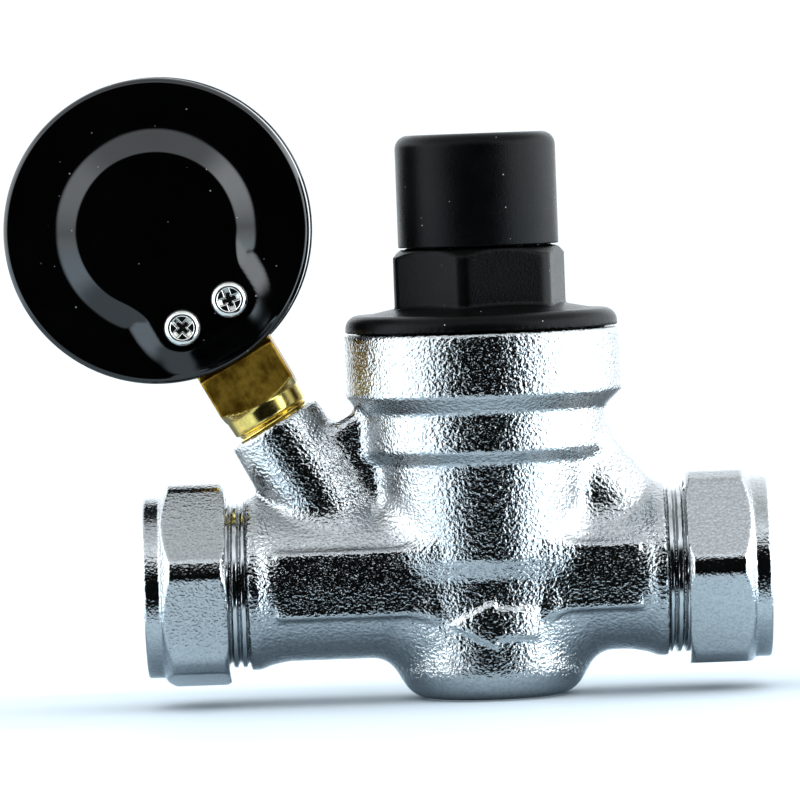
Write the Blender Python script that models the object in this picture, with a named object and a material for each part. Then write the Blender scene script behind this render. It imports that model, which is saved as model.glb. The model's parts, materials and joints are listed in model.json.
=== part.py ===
"""A 22 mm pressure reducing valve with a 52 mm pressure gauge.

Lengths in this file are millimetres and are turned into metres where vertices are made.
+Z runs up the cartridge axis and the origin is the centre of the flat underside of the bowl.
+X is the inlet, -X the outlet and the gauge's side, and the gauge's dial faces +Y.
"""

import math

import bmesh
import bpy
from mathutils import Matrix, Vector

MM = 0.001
GAP = 0.3  # between pieces that touch on the real valve

# Pipe tails and compression nuts, measured outwards from the cartridge axis
PIPE_Z = 20.5
TAIL_R = 13.4
SHOULDER_R = 14.7
THREAD_R = 14.1
PIPE_R = 11.1
PASSAGE_R = 8.5
INLET_SHOULDER = 29.8
OUTLET_SHOULDER = 41.0
NUT_LENGTH = 14.0
NUT_FLATS = 32.0
NUT_CORNER_R = 17.6
NUT_COLLAR_R = 15.5
NUT_COLLAR_LENGTH = 2.6
INLET_NUT_CORNER = 176.0  # angle of a corner about the pipe's axis
OUTLET_NUT_CORNER = 192.0
NUT_TO_SHOULDER = 3.4  # thread left showing between nut and shoulder
NUT_OVER_TAIL = 7.2  # nut's outer face beyond the end of the tail
SOCKET_DEPTH = 17.0
PAD_FACE = 13.6  # from the pipe's axis to the flat pads at front and back
PAD_HALF_HEIGHT = 5.75

# Barrel
BARREL = ((15.9, 20.3), (17.5, 24.1), (18.6, 40.1), (20.6, 42.1), (20.6, 48.7), (23.6, 51.5))
BOWL_FLAT_R = 10.5
BOWL_FILLET = 5.4
BARREL_TOP = 62.0
WEB = ((-31, 41), (-25.6, 47.8), (-21.8, 49.7), (-15, 49.0), (-14, 25), (-24, 25))  # x, z
WEB_HALF = 6.0
ARROW = ((7.9, 10.2), (7.9, 16.0), (0.8, 16.0), (0.8, 17.5), (-7.8, 13.1), (0.8, 8.7), (0.8, 10.2))  # x, z
ARROW_FACE_R = 16.5
INLET_PORT_R = 6.0
OUTLET_PORT_R = 5.5
GAUGE_PORT_R = 2.2
GAUGE_HOLE_DEPTH = 11.5

# Bores down the barrel
CARTRIDGE_R = 12.5
CARTRIDGE_OUTER = CARTRIDGE_R - GAP
CARTRIDGE_FLOOR = 4.0
SEAT_LOW = 23.0
CHAMBER_R = 17.0
CHAMBER_FLOOR = 44.0
SHELF_Z = 54.5
BONNET_BORE_R = 21.0

# Bonnet and cap
BONNET_FLATS = 27.0
BONNET_CORNER_R = 15.1
BONNET_CORNER = -102.0  # angle of a corner about the cartridge axis
FLANGE_R = 23.05
HEX_LOW = 65.6
HEX_HIGH = 76.1
TOWER_R = 12.2
TOWER_TOP = 87.5
TOWER_ROOF = 83.0
SPRING_BORE_R = 10.2
SCREW_R = 6.0
CAP_R = 13.6
CAP_TOP = 95.4
CAP_WALL = 1.1
CAP_FILLET = 2.3

# Gauge: its centre lies along the boss axis, beyond the boss face
BOSS_FOOT = Vector((-20.6, 0.0, 20.5))
BOSS_LEAN = math.radians(29.05)
BOSS_LENGTH = 30.9
BOSS_R = 8.3
GAUGE_FROM_BOSS = 38.2
GAUGE_R = 26.1
CASE_R = 25.8
CASE_BACK = -8.0
PLATEAU_BACK = -9.5
STEM_SQUARE = 14.0
STEM_THREAD_R = 6.6
PINION_TEETH = 8
SECTOR_TEETH = 48  # of a full turn
GEAR_MODULE = 0.5
SECTOR_SWEEP = 45.0
LINK_ARM = 4.0
TUBE_R = 19.0
TUBE_TIP = math.radians(75.0)
POINTER_ZERO = -45.0  # from the stem, about the dial's normal

CHROME = ("chrome", (0.78, 0.79, 0.81), 0.22, 1.0)
BRASS = ("brass", (0.62, 0.47, 0.20), 0.35, 1.0)
STEEL = ("steel", (0.62, 0.63, 0.65), 0.30, 1.0)
NICKEL = ("nickel", (0.80, 0.79, 0.76), 0.22, 1.0)
BLACK_PLASTIC = ("black_plastic", (0.022, 0.022, 0.024), 0.50, 0.0)
INNER_PLASTIC = ("inner_plastic", (0.80, 0.80, 0.76), 0.50, 0.0)
BLACK_ENAMEL = ("black_enamel", (0.012, 0.012, 0.013), 0.12, 0.0)
RUBBER = ("rubber", (0.03, 0.03, 0.03), 0.70, 0.0)
DIAL_WHITE = ("dial_white", (0.90, 0.90, 0.88), 0.60, 0.0)
POINTER_BLACK = ("pointer_black", (0.02, 0.02, 0.02), 0.50, 0.0)
CLEAR = ("clear", (0.90, 0.94, 0.95), 0.05, 0.0)


def clear_scene():
    for obj in list(bpy.data.objects):
        bpy.data.objects.remove(obj)


def material_for(finish):
    name, colour, roughness, metallic = finish
    material = bpy.data.materials.get(name)
    if material is None:
        material = bpy.data.materials.new(name)
        material.use_nodes = True
        shader = material.node_tree.nodes["Principled BSDF"]
        shader.inputs["Base Color"].default_value = (*colour, 1.0)
        shader.inputs["Roughness"].default_value = roughness
        shader.inputs["Metallic"].default_value = metallic
    return material


def empty(name, location, z_axis, x_axis):
    """A frame to build in: its Z and X axes point along the given directions."""
    z = Vector(z_axis).normalized()
    x = Vector(x_axis).normalized()
    turn = Matrix((x, z.cross(x), z)).transposed()
    obj = bpy.data.objects.new(name, None)
    bpy.context.scene.collection.objects.link(obj)
    obj.matrix_world = Matrix.Translation(Vector(location) * MM) @ turn.to_4x4()
    return obj


def node(name, bm, finish, parent=None, at=(0, 0, 0), turn=(0, 0, 0)):
    """Closes a bmesh into an object. Without a finish it is a cutter or another helper."""
    bmesh.ops.remove_doubles(bm, verts=bm.verts, dist=1e-6)
    bmesh.ops.recalc_face_normals(bm, faces=bm.faces)
    mesh = bpy.data.meshes.new(name)
    bm.to_mesh(mesh)
    bm.free()
    obj = bpy.data.objects.new(name, mesh)
    bpy.context.scene.collection.objects.link(obj)
    obj.parent = parent
    obj.location = Vector(at) * MM
    obj.rotation_euler = turn
    if finish is None:
        obj.hide_render = True
        obj.display_type = "WIRE"
        return obj
    mesh.materials.append(material_for(finish))
    mesh.shade_smooth()
    mesh.set_sharp_from_angle(angle=math.radians(35))
    return obj


def turned(name, outline, finish=None, parent=None, steps=40, at=(0, 0, 0), turn=(0, 0, 0)):
    """A shape of revolution about local Z from (radius, height) points round its closed outline."""
    bm = bmesh.new()
    verts = [bm.verts.new((r * MM, 0, z * MM)) for r, z in outline]
    edges = [bm.edges.new((a, b)) for a, b in zip(verts, verts[1:] + verts[:1])
             if not (a.co.x == 0 and b.co.x == 0)]
    bmesh.ops.spin(bm, geom=verts + edges, cent=(0, 0, 0), axis=(0, 0, 1),
                   angle=math.tau, steps=steps, use_merge=True)
    return node(name, bm, finish, parent, at, turn)


def prism(name, outline, low, high, finish=None, parent=None, at=(0, 0, 0), turn=(0, 0, 0)):
    """An outline of (x, y) points extruded along local Z."""
    bm = bmesh.new()
    face = bm.faces.new([bm.verts.new((x * MM, y * MM, low * MM)) for x, y in outline])
    made = bmesh.ops.extrude_face_region(bm, geom=[face])["geom"]
    lift = Vector((0, 0, (high - low) * MM))
    bmesh.ops.translate(bm, vec=lift, verts=[v for v in made if isinstance(v, bmesh.types.BMVert)])
    return node(name, bm, finish, parent, at, turn)


def block(name, low, high, finish=None, parent=None, at=(0, 0, 0), turn=(0, 0, 0)):
    outline = ((low[0], low[1]), (high[0], low[1]), (high[0], high[1]), (low[0], high[1]))
    return prism(name, outline, low[2], high[2], finish, parent, at, turn)


def rod(name, radius, low, high, finish=None, parent=None, steps=32, at=(0, 0, 0), turn=(0, 0, 0)):
    return turned(name, ((0, high), (radius, high), (radius, low), (0, low)), finish, parent, steps, at, turn)


def tube(name, inner, outer, low, high, finish=None, parent=None, steps=40, at=(0, 0, 0)):
    return turned(name, ((inner, high), (outer, high), (outer, low), (inner, low)), finish, parent, steps, at)


def combine(obj, operation, other, solver="EXACT"):
    modifier = obj.modifiers.new(f"{operation.lower()}_{other.name}", "BOOLEAN")
    modifier.operation = operation
    modifier.object = other
    modifier.solver = solver
    return obj


def add(obj, *others):
    for other in others:
        combine(obj, "UNION", other)
    return obj


def cut(obj, *others, solver="EXACT"):
    for other in others:
        combine(obj, "DIFFERENCE", other, solver)
    return obj


def keep_inside(obj, other):
    return combine(obj, "INTERSECT", other)


def arc(centre, radius, start, end, count):
    """Points on an arc, in degrees, both ends included."""
    angles = [math.radians(start + (end - start) * i / (count - 1)) for i in range(count)]
    return [(centre[0] + radius * math.cos(a), centre[1] + radius * math.sin(a)) for a in angles]


def polygon(sides, radius, start=0.0):
    return arc((0, 0), radius, start, start + 360 * (sides - 1) / sides, sides)


def hexagon(flats, start=0.0):
    return polygon(6, flats / math.sqrt(3), start)


def ring_seal(name, mean_r, wire_r, height, parent=None, finish=RUBBER, steps=20):
    return turned(name, arc((mean_r, height), wire_r, 0, 300, 6), finish, parent, steps)


def inclined(name, start, end, radius, steps=20):
    """A round bar between two points, for a helper."""
    along = Vector(end) - Vector(start)
    turn = Vector((0, 0, 1)).rotation_difference(along).to_euler()
    return rod(name, radius, 0, along.length, None, None, steps, start, turn)


# ---------------------------------------------------------------- body

def tail_outline(shoulder):
    end = tail_end(shoulder)
    return ((0, end), (THREAD_R - 0.5, end), (THREAD_R, end - 0.7), (THREAD_R, shoulder),
            (SHOULDER_R - 0.5, shoulder), (SHOULDER_R, shoulder - 0.5), (SHOULDER_R, shoulder - 1.8),
            (TAIL_R + 0.5, shoulder - 4.2), (TAIL_R, shoulder - 7.0), (TAIL_R, 0), (0, 0))


def tail_end(shoulder):
    return shoulder + NUT_TO_SHOULDER + NUT_LENGTH - NUT_OVER_TAIL


def socket_outline(shoulder):
    """The pipe socket: a cone for the olive, the pipe's bore and a shallow stop."""
    end = tail_end(shoulder)
    return ((0, end + 1), (PIPE_R + 2.2 + 0.63, end + 1), (PIPE_R, end - 3.5), (PIPE_R, end - SOCKET_DEPTH),
            (PASSAGE_R, end - SOCKET_DEPTH - 1.5), (0, end - SOCKET_DEPTH - 1.5))


def flow_arrow():
    """A broad arrow pointing to the outlet, raised 0.6 mm from the bowl's surface."""
    arrow = prism("arrow_outline", ARROW, 12.0, 18.0, turn=(math.radians(90), 0, 0))
    keep_inside(arrow, rod("arrow_depth", ARROW_FACE_R, 2, 24, steps=40))
    return arrow


def boss_frame():
    lean = Vector((-math.sin(BOSS_LEAN), 0, math.cos(BOSS_LEAN)))
    return empty("boss_axis", BOSS_FOOT, lean, (0, 1, 0))


def make_body(inlet, outlet, boss):
    bowl = [(BOWL_FLAT_R + BOWL_FILLET * math.sin(a), BOWL_FILLET * (1 - math.cos(a)))
            for a in (math.radians(22.5 * i) for i in range(5))]
    outline = [(0, BARREL_TOP), (BARREL[-1][0], BARREL_TOP)] + list(reversed(BARREL)) + bowl[::-1] + [(0, 0)]
    body = turned("valve_body", outline, CHROME, steps=40)
    web = prism("boss_web", WEB, -WEB_HALF, WEB_HALF, turn=(math.radians(90), 0, 0))
    low, high = PIPE_Z - PAD_HALF_HEIGHT, PIPE_Z + PAD_HALF_HEIGHT
    pads = [block("outlet_pads", (-36.3, -PAD_FACE, low), (-12.5, PAD_FACE, high)),
            block("inlet_pads", (12.5, -PAD_FACE, low), (25.4, PAD_FACE, high))]
    add(body,
        turned("inlet_tail", tail_outline(INLET_SHOULDER), None, inlet, 28),
        turned("outlet_tail", tail_outline(OUTLET_SHOULDER), None, outlet, 28),
        turned("gauge_boss", ((0, BOSS_LENGTH), (BOSS_R - 0.6, BOSS_LENGTH), (BOSS_R, BOSS_LENGTH - 0.6),
                              (BOSS_R + 0.6, 6), (0, 6)), None, boss, 20),
        web,
        inclined("inlet_gusset", (10.0, 0, 43.8), (22.2, 0, 28.4), 9.0),
        *pads,
        flow_arrow())
    bores = turned("cartridge_bore", (
        (0, BARREL_TOP + 1), (BONNET_BORE_R, BARREL_TOP + 1), (BONNET_BORE_R, SHELF_Z), (CHAMBER_R, SHELF_Z),
        (CHAMBER_R, CHAMBER_FLOOR), (CARTRIDGE_R, CHAMBER_FLOOR), (CARTRIDGE_R, CARTRIDGE_FLOOR),
        (0, CARTRIDGE_FLOOR)), None, None, 28)
    hole_floor = BOSS_LENGTH - GAUGE_HOLE_DEPTH
    cut(body, bores,
        turned("inlet_socket", socket_outline(INLET_SHOULDER), None, inlet, 24),
        turned("outlet_socket", socket_outline(OUTLET_SHOULDER), None, outlet, 24),
        inclined("inlet_port", (9, 0, 15.5), (INLET_SHOULDER - 6, 0, 17.0), INLET_PORT_R),
        inclined("outlet_port", (-9, 0, 31.0), (-OUTLET_SHOULDER + 6, 0, 21.5), OUTLET_PORT_R),
        rod("gauge_thread", STEM_THREAD_R + 0.25, hole_floor, BOSS_LENGTH + 2, None, boss, 24),
        rod("gauge_port", GAUGE_PORT_R, 3, hole_floor + 0.5, None, boss, 12),
        solver="MANIFOLD")


# ---------------------------------------------------------------- compression ends

def make_compression_end(side, frame, shoulder, corner_angle):
    inner = shoulder + NUT_TO_SHOULDER
    outer = inner + NUT_LENGTH
    collar = outer - NUT_COLLAR_LENGTH
    flat = NUT_FLATS / 2
    bore = THREAD_R + GAP
    nut = turned(f"{side}_nut", (
        (PIPE_R + 0.2, outer), (NUT_COLLAR_R - 0.5, outer), (NUT_COLLAR_R, outer - 0.5), (NUT_COLLAR_R, collar),
        (flat, collar - 1.0), (NUT_CORNER_R, collar - 1.9), (NUT_CORNER_R, inner + 1.1), (flat + 0.2, inner),
        (bore + 0.5, inner), (bore, inner + 0.5), (bore, outer - 5.2), (PIPE_R + 2.3, outer - 4.2),
        (PIPE_R + 0.2, outer - 2.0)), CHROME, frame, 28)
    keep_inside(nut, prism(f"{side}_hexagon", hexagon(NUT_FLATS, corner_angle), inner - 1, outer + 1,
                           None, frame))
    turned(f"{side}_olive", (
        (PIPE_R + 0.05, outer - 8.3), (PIPE_R + 0.8, outer - 8.3), (13.1, outer - 6.4), (13.1, outer - 4.9),
        (PIPE_R + 0.8, outer - 2.9), (PIPE_R + 0.05, outer - 2.9)), BRASS, frame, 24)


# ---------------------------------------------------------------- cartridge and stem

def make_cartridge():
    low, split, top = 22.5, 44.3, 46.3
    cartridge = turned("seat_cartridge", (
        (2.6, top), (16.6, top), (16.6, split), (CARTRIDGE_OUTER, split), (CARTRIDGE_OUTER, 41.5), (10.7, 41.5),
        (10.7, 39.5), (CARTRIDGE_OUTER, 39.5), (CARTRIDGE_OUTER, 26.3), (10.7, 26.3), (10.7, 24.3),
        (CARTRIDGE_OUTER, 24.3), (CARTRIDGE_OUTER, low), (8.6, low), (8.6, 24.4), (6.6, 24.4), (6.2, SEAT_LOW),
        (5.6, SEAT_LOW), (5.4, 27.4), (9.2, 27.4), (9.2, 43.0), (2.6, 43.0)), INNER_PLASTIC, None, 20)
    for i in range(4):
        angle = math.radians(45 + 90 * i)
        cut(cartridge, block(f"outlet_window_{i}", (6, -4.2, 28.2), (14, 4.2, 37.6), turn=(0, 0, angle)),
            rod(f"sensing_hole_{i}", 1.2, 42, 48, steps=12,
                at=(6 * math.cos(angle), 6 * math.sin(angle), 0)))
    ring_seal("lower_cartridge_o_ring", 11.55, 0.7, 25.3)
    ring_seal("upper_cartridge_o_ring", 11.55, 0.7, 40.5)

    base = turned("cartridge_base", (
        (CARTRIDGE_OUTER, 22.2), (CARTRIDGE_OUTER, 19.6), (11.2, 19.6), (11.2, 8.1), (CARTRIDGE_OUTER, 8.1),
        (CARTRIDGE_OUTER, 4.3), (0, 4.3), (0, 7.0), (4.1, 7.0), (4.1, 15.0), (5.4, 15.0), (5.4, 8.0),
        (9.2, 8.0), (9.2, 22.2)), INNER_PLASTIC, None, 20)
    for i in range(4):
        angle = math.radians(90 * i)
        cut(base, block(f"inlet_window_{i}", (7, -4.6, 9.6), (14, 4.6, 18.2), turn=(0, 0, angle)))

    strainer = tube("strainer", 11.45, 12.05, 8.4, 19.3, STEEL, None, 20)
    for i in range(10):
        angle = math.tau * (i + 0.5) / 10
        cut(strainer, block(f"strainer_slot_{i}", (10, -0.8, 9.6), (13, 0.8, 18.1), turn=(0, 0, angle)))


def make_stem():
    turned("valve_stem", (
        (0, 61.5), (2.2, 61.5), (2.5, 61.2), (2.5, 52.3), (3.8, 52.3), (3.8, 50.6), (2.5, 50.6), (2.5, 18.4),
        (8.2, 18.4), (8.2, 16.6), (2.5, 16.6), (2.5, 14.2), (4.0, 14.2), (4.0, 12.6), (3.0, 12.6), (3.0, 11.0),
        (4.0, 11.0), (4.0, 9.6), (0, 9.6)), BRASS, None, 16)
    ring_seal("piston_o_ring", 3.6, 0.45, 11.8, None, RUBBER, 16)
    tube("disc_seal", 2.75, 7.6, 18.7, 20.4, RUBBER, None, 20)
    retainer = prism("seal_retaining_nut", hexagon(7.0), 20.7, 22.6, BRASS)
    cut(retainer, rod("seal_nut_bore", 2.75, 20, 23, steps=16))
    tube("lower_diaphragm_plate", 2.75, 12.4, 52.6, 54.2, STEEL, None, 20)
    turned("diaphragm", ((2.75, 55.7), (12.6, 55.7), (14.0, 56.6), (15.4, 56.6), (16.6, 55.7), (20.6, 55.7),
                         (20.6, 54.8), (16.2, 54.8), (15.0, 55.6), (14.4, 55.6), (13.2, 54.8), (2.75, 54.5)),
           RUBBER, None, 24)
    turned("upper_diaphragm_plate", ((2.75, 59.0), (6.0, 59.0), (6.0, 57.6), (12.6, 57.6), (12.6, 56.0),
                                     (2.75, 56.0)), STEEL, None, 20)
    nut = prism("stem_nut", hexagon(8.0), 59.3, 61.9, BRASS)
    cut(nut, rod("stem_nut_bore", 2.75, 58, 63, steps=16))


# ---------------------------------------------------------------- spring, bonnet and cap

def helix_tube(name, mean_r, wire_r, low, high, turns, finish, per_turn=12, sides=6):
    """A coil spring with flat-wound ends: its rise is slow over the first and last turn."""
    bm = bmesh.new()
    count = int(turns * per_turn)
    rings = []
    for i in range(count + 1):
        turn = turns * i / count
        closed = 2 * wire_r * 1.08
        if turn < 1:
            z = closed * turn
        elif turn > turns - 1:
            z = (high - low - 2 * wire_r) - closed * (turns - turn)
        else:
            z = closed + (high - low - 2 * wire_r - 2 * closed) * (turn - 1) / (turns - 2)
        angle = math.tau * turn
        outwards = Vector((math.cos(angle), math.sin(angle), 0))
        centre = outwards * mean_r + Vector((0, 0, low + wire_r + z))
        ring = []
        for k in range(sides):
            roll = math.tau * (k + 0.5) / sides
            point = centre + outwards * (wire_r * math.cos(roll)) + Vector((0, 0, wire_r * math.sin(roll)))
            ring.append(bm.verts.new(point * MM))
        rings.append(ring)
    for a, b in zip(rings, rings[1:]):
        for k in range(sides):
            bm.faces.new((a[k], a[(k + 1) % sides], b[(k + 1) % sides], b[k]))
    bm.faces.new(rings[0][::-1])
    bm.faces.new(rings[-1])
    return node(name, bm, finish)


def make_bonnet():
    flange_low = BARREL_TOP + GAP
    bonnet = turned("bonnet", (
        (0, TOWER_TOP), (TOWER_R - 0.6, TOWER_TOP), (TOWER_R, TOWER_TOP - 0.6), (TOWER_R, HEX_LOW - 0.4),
        (20.9, HEX_LOW), (22.4, HEX_LOW - 0.7), (FLANGE_R, HEX_LOW - 2.2), (FLANGE_R, flange_low),
        (BONNET_BORE_R - GAP, flange_low), (BONNET_BORE_R - GAP, 56.9), (0, 56.9)), BLACK_PLASTIC, None, 32)
    hexagon_part = turned("bonnet_corners", (
        (0, HEX_HIGH), (13.3, HEX_HIGH), (BONNET_CORNER_R, HEX_HIGH - 1.1), (BONNET_CORNER_R, HEX_LOW - 1),
        (0, HEX_LOW - 1)), None, None, 24)
    flats = hexagon(BONNET_FLATS, BONNET_CORNER)
    keep_inside(hexagon_part, prism("bonnet_hexagon", flats, HEX_LOW - 2, HEX_HIGH + 1))
    add(bonnet, hexagon_part)
    cut(bonnet, turned("bonnet_bore", (
        (0, TOWER_TOP + 1), (SCREW_R + 0.15, TOWER_TOP + 1), (SCREW_R + 0.15, TOWER_ROOF),
        (SPRING_BORE_R, TOWER_ROOF), (SPRING_BORE_R, 61.6), (14.2, 61.6), (14.2, 57.2), (16.8, 56.0),
        (0, 56.0)), None, None, 24))


def make_cap():
    low = HEX_HIGH + GAP
    fillet = arc((CAP_R - CAP_FILLET, CAP_TOP - CAP_FILLET), CAP_FILLET, 90, 0, 5)
    turned("protective_cap", [(0, CAP_TOP)] + fillet + [
        (CAP_R, low), (CAP_R - CAP_WALL, low), (CAP_R - CAP_WALL, CAP_TOP - 2.2), (0, CAP_TOP - 2.2)],
        BLACK_PLASTIC, None, 32)


def make_spring_group():
    helix_tube("regulating_spring", 8.2, 1.5, 57.9, 76.4, 5.5, STEEL, 10, 5)
    turned("spring_plate", ((0, 78.6), (1.6, 78.6), (2.6, 79.4), (9.7, 79.4), (9.7, 76.9), (6.2, 76.9),
                            (5.6, 74.4), (0, 74.4)), STEEL, None, 20)
    screw = turned("adjusting_screw", ((0, 89.8), (SCREW_R - 0.6, 89.8), (SCREW_R, 89.2), (SCREW_R, 81.0),
                                       (2.2, 79.7), (0, 79.0)), BRASS, None, 20)
    cut(screw, block("screwdriver_slot", (-7, -0.8, 87.4), (7, 0.8, 91)))


# ---------------------------------------------------------------- gauge

def gauge_frame():
    """Local X runs from the gauge's centre down its stem, and local Z towards the dial."""
    lean = Vector((-math.sin(BOSS_LEAN), 0, math.cos(BOSS_LEAN)))
    centre = BOSS_FOOT + lean * (BOSS_LENGTH + GAUGE_FROM_BOSS)
    return empty("gauge_centre", centre, (0, 1, 0), -lean)


def keyhole(parent):
    """The raised panel on the back of the case: a round dome and a lobe towards the stem."""
    height = CASE_BACK - PLATEAU_BACK
    dome = turned("keyhole_dome", ((0, 0.6), (16.7, 0.6), (16.7, 0), (13.1, -height), (0, -height)),
                  None, parent, 28, (0, 0, CASE_BACK))
    bm = bmesh.new()
    foot = ((6, -12.0), (21.4, -12.0), (23.2, -10.2), (23.2, 10.2), (21.4, 12.0), (6, 12.0))
    top = ((6, -8.8), (18.6, -8.8), (20.2, -7.4), (20.2, 7.4), (18.6, 8.8), (6, 8.8))
    loops = [[bm.verts.new((x * MM, y * MM, z * MM)) for x, y in points]
             for points, z in ((foot, CASE_BACK + 0.6), (foot, CASE_BACK), (top, PLATEAU_BACK))]
    for a, b in zip(loops, loops[1:]):
        for k in range(6):
            bm.faces.new((a[k], a[(k + 1) % 6], b[(k + 1) % 6], b[k]))
    bm.faces.new(loops[0])
    bm.faces.new(loops[-1])
    lobe = node("keyhole_lobe", bm, None, parent)
    return add(dome, lobe)


def make_case(frame):
    rim, seat = 14.0, 9.2
    case = turned("gauge_case", (
        (CASE_R - 1.8, CASE_BACK), (CASE_R - 0.5, CASE_BACK + 0.5), (CASE_R, CASE_BACK + 1.8),
        (CASE_R, seat + 0.3), (24.9, seat + 0.3), (24.9, rim), (23.9, rim), (23.9, seat), (22.9, seat),
        (22.9, CASE_BACK + 1.2), (0, CASE_BACK + 1.2), (0, CASE_BACK)), BLACK_ENAMEL, frame, 40)
    add(case, keyhole(frame))
    half = STEM_SQUARE / 2 + GAP
    cut(case, block("stem_opening", (21, -half, -half + 0.6), (28, half, half), None, frame))
    for side in (-1, 1):
        cut(case, rod(f"case_screw_hole_{side}", 1.8, -11, -5, None, frame, 12, (16.2, 4.6 * side, 0)))
    turned("gauge_bezel", (
        (25.2, 9.8), (GAUGE_R, 9.8), (GAUGE_R, 16.5), (GAUGE_R - 0.8, 17.3), (23.4, 17.3), (22.9, 16.8),
        (22.9, 16.1), (25.2, 16.1)), BLACK_ENAMEL, frame, 36)
    turned("gauge_window", ((0, 15.8), (24.9, 15.8), (24.9, 14.3), (0, 14.3)), CLEAR, frame, 28)
    tube("gauge_dial", 1.4, 23.5, 9.5, 10.3, DIAL_WHITE, frame, 28)


def make_case_screws(frame):
    for side, label in ((1, "left"), (-1, "right")):
        seat = PLATEAU_BACK - 0.1
        at = (16.2, 4.6 * side, 0)
        screw = turned(f"gauge_screw_{label}", (
            (0, -2.0), (1.2, -2.0), (1.5, -2.3), (1.5, seat), (3.15, seat), (3.15, seat - 0.5),
            (2.4, seat - 1.4), (1.3, seat - 1.75), (0, seat - 1.85)), NICKEL, frame, 16, at)
        for quarter in (0, 1):
            angle = math.radians(45 * side + 90 * quarter)
            cut(screw, block(f"cross_slot_{label}_{quarter}", (-1.7, -0.35, seat - 2.5),
                             (1.7, 0.35, seat - 0.6), None, frame, at, (0, 0, angle)))


def make_socket(frame):
    """The square socket, its thread and the tongue inside the case that carries tube and movement."""
    half = STEM_SQUARE / 2
    neck = GAUGE_FROM_BOSS - 1.0
    socket = block("gauge_socket", (23.9, -half, -half + 0.9), (neck, half, half), BRASS, frame)
    across = math.radians(90)
    keep_inside(socket, turned("socket_chamfer", ((0, neck + 1), (half - 0.4, neck), (half - 0.2, neck),
                                                  (10.2, neck - 3.2), (10.2, 20), (0, 20)), None, frame, 28,
                               turn=(0, across, 0)))
    thread = rod("socket_thread", STEM_THREAD_R, neck - 3, GAUGE_FROM_BOSS + 9.5, None, frame, 24,
                 turn=(0, across, 0))
    tongue = block("socket_tongue", (9.5, -6, -6.5), (25, 6, 0.7), None, frame)
    add(socket, thread, tongue)
    cut(socket, rod("socket_bore", 1.5, 13, GAUGE_FROM_BOSS + 12, None, frame, 16, turn=(0, across, 0)))
    for side in (-1, 1):
        cut(socket, rod(f"socket_screw_hole_{side}", 1.75, -8, -1.6, None, frame, 12, (16.2, 4.6 * side, 0)))


def gear_outline(teeth, first, count, root_share=1.2, tip_share=0.8):
    """Straight-flanked teeth from the first tooth's angle on, in degrees. They leave real backlash."""
    pitch_r = GEAR_MODULE * teeth / 2
    step = 360 / teeth
    root, tip = pitch_r - root_share * GEAR_MODULE, pitch_r + tip_share * GEAR_MODULE
    points = []
    for i in range(count):
        middle = first + step * i
        for r, share in ((root, -0.30), (tip, -0.11), (tip, 0.11), (root, 0.30)):
            angle = math.radians(middle + share * step)
            points.append((r * math.cos(angle), r * math.sin(angle)))
    return points


def make_movement(frame):
    """Bourdon tube, link, sector, pinion, pointer and the two plates that carry them."""
    distance = GEAR_MODULE * (PINION_TEETH + SECTOR_TEETH) / 2
    pivot = (0, distance, 0)
    pinion = turned("pointer_pinion", ((0, 11.9), (0.75, 11.9), (0.75, 0.4), (0, 0.4)), BRASS, frame, 16)
    add(pinion, prism("pinion_teeth", gear_outline(PINION_TEETH, 90 + 180 / PINION_TEETH, PINION_TEETH),
                      3.9, 5.3, None, frame))
    step = 360 / SECTOR_TEETH
    teeth = int(SECTOR_SWEEP / step) + 3
    first = 270 + step - step * (teeth - 1)
    rim = gear_outline(SECTOR_TEETH, first, teeth)
    hub = arc((0, 0), 2.2, 300, 510, 7)
    sector = prism("sector_gear", rim + hub, 4.2, 5.0, BRASS, frame, pivot)
    add(sector, rod("sector_shaft", 0.9, 0.4, 8.2, None, frame, 16, pivot),
        block("sector_tail", (0, -1.2, 4.2), (LINK_ARM + 1.0, 1.2, 5.0), None, frame, pivot),
        rod("tail_pin", 0.45, 2.7, 4.6, None, frame, 12, (LINK_ARM, distance, 0)))
    tip = (TUBE_R * math.cos(TUBE_TIP), TUBE_R * math.sin(TUBE_TIP), 0)
    make_link(frame, (LINK_ARM, distance, 0), tip)
    make_bourdon_tube(frame, tip)
    bottom = prism("movement_bottom_plate", ((-2.6, -6), (2.6, -6), (2.6, -3), (15, -3), (15, 3), (2.6, 3),
                                             (2.6, 20.5), (-2.6, 20.5)), 1.0, 2.0, BRASS, frame)
    top = block("movement_top_plate", (-2.6, -6, 6.8), (2.6, 20.5, 7.8), BRASS, frame)
    for i, (x, y) in enumerate(((0, -4.6), (-1.2, 19.2))):
        add(bottom, rod(f"pillar_{i}", 1.1, 1.5, 6.5, None, frame, 12, (x, y, 0)))
    for plate, label in ((bottom, "bottom"), (top, "top")):
        cut(plate, rod(f"pinion_hole_{label}", 0.85, 0, 9, None, frame, 16),
            rod(f"sector_hole_{label}", 1.0, 0, 9, None, frame, 16, pivot))
    make_pointer(frame)


def make_link(frame, pin, tip):
    along = Vector(tip) - Vector(pin)
    angle = math.atan2(along.y, along.x)
    half = along.length
    outline = arc((0, 0), 1.0, 90, 270, 5) + arc((half, 0), 1.0, -90, 90, 5)
    link = prism("gauge_link", outline, 2.9, 3.7, STEEL, frame, pin, (0, 0, angle))
    cut(link, rod("link_hole_sector", 0.55, 2, 5, None, frame, 12, pin),
        rod("link_hole_tube", 0.7, 2, 5, None, frame, 12, tip))


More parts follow.
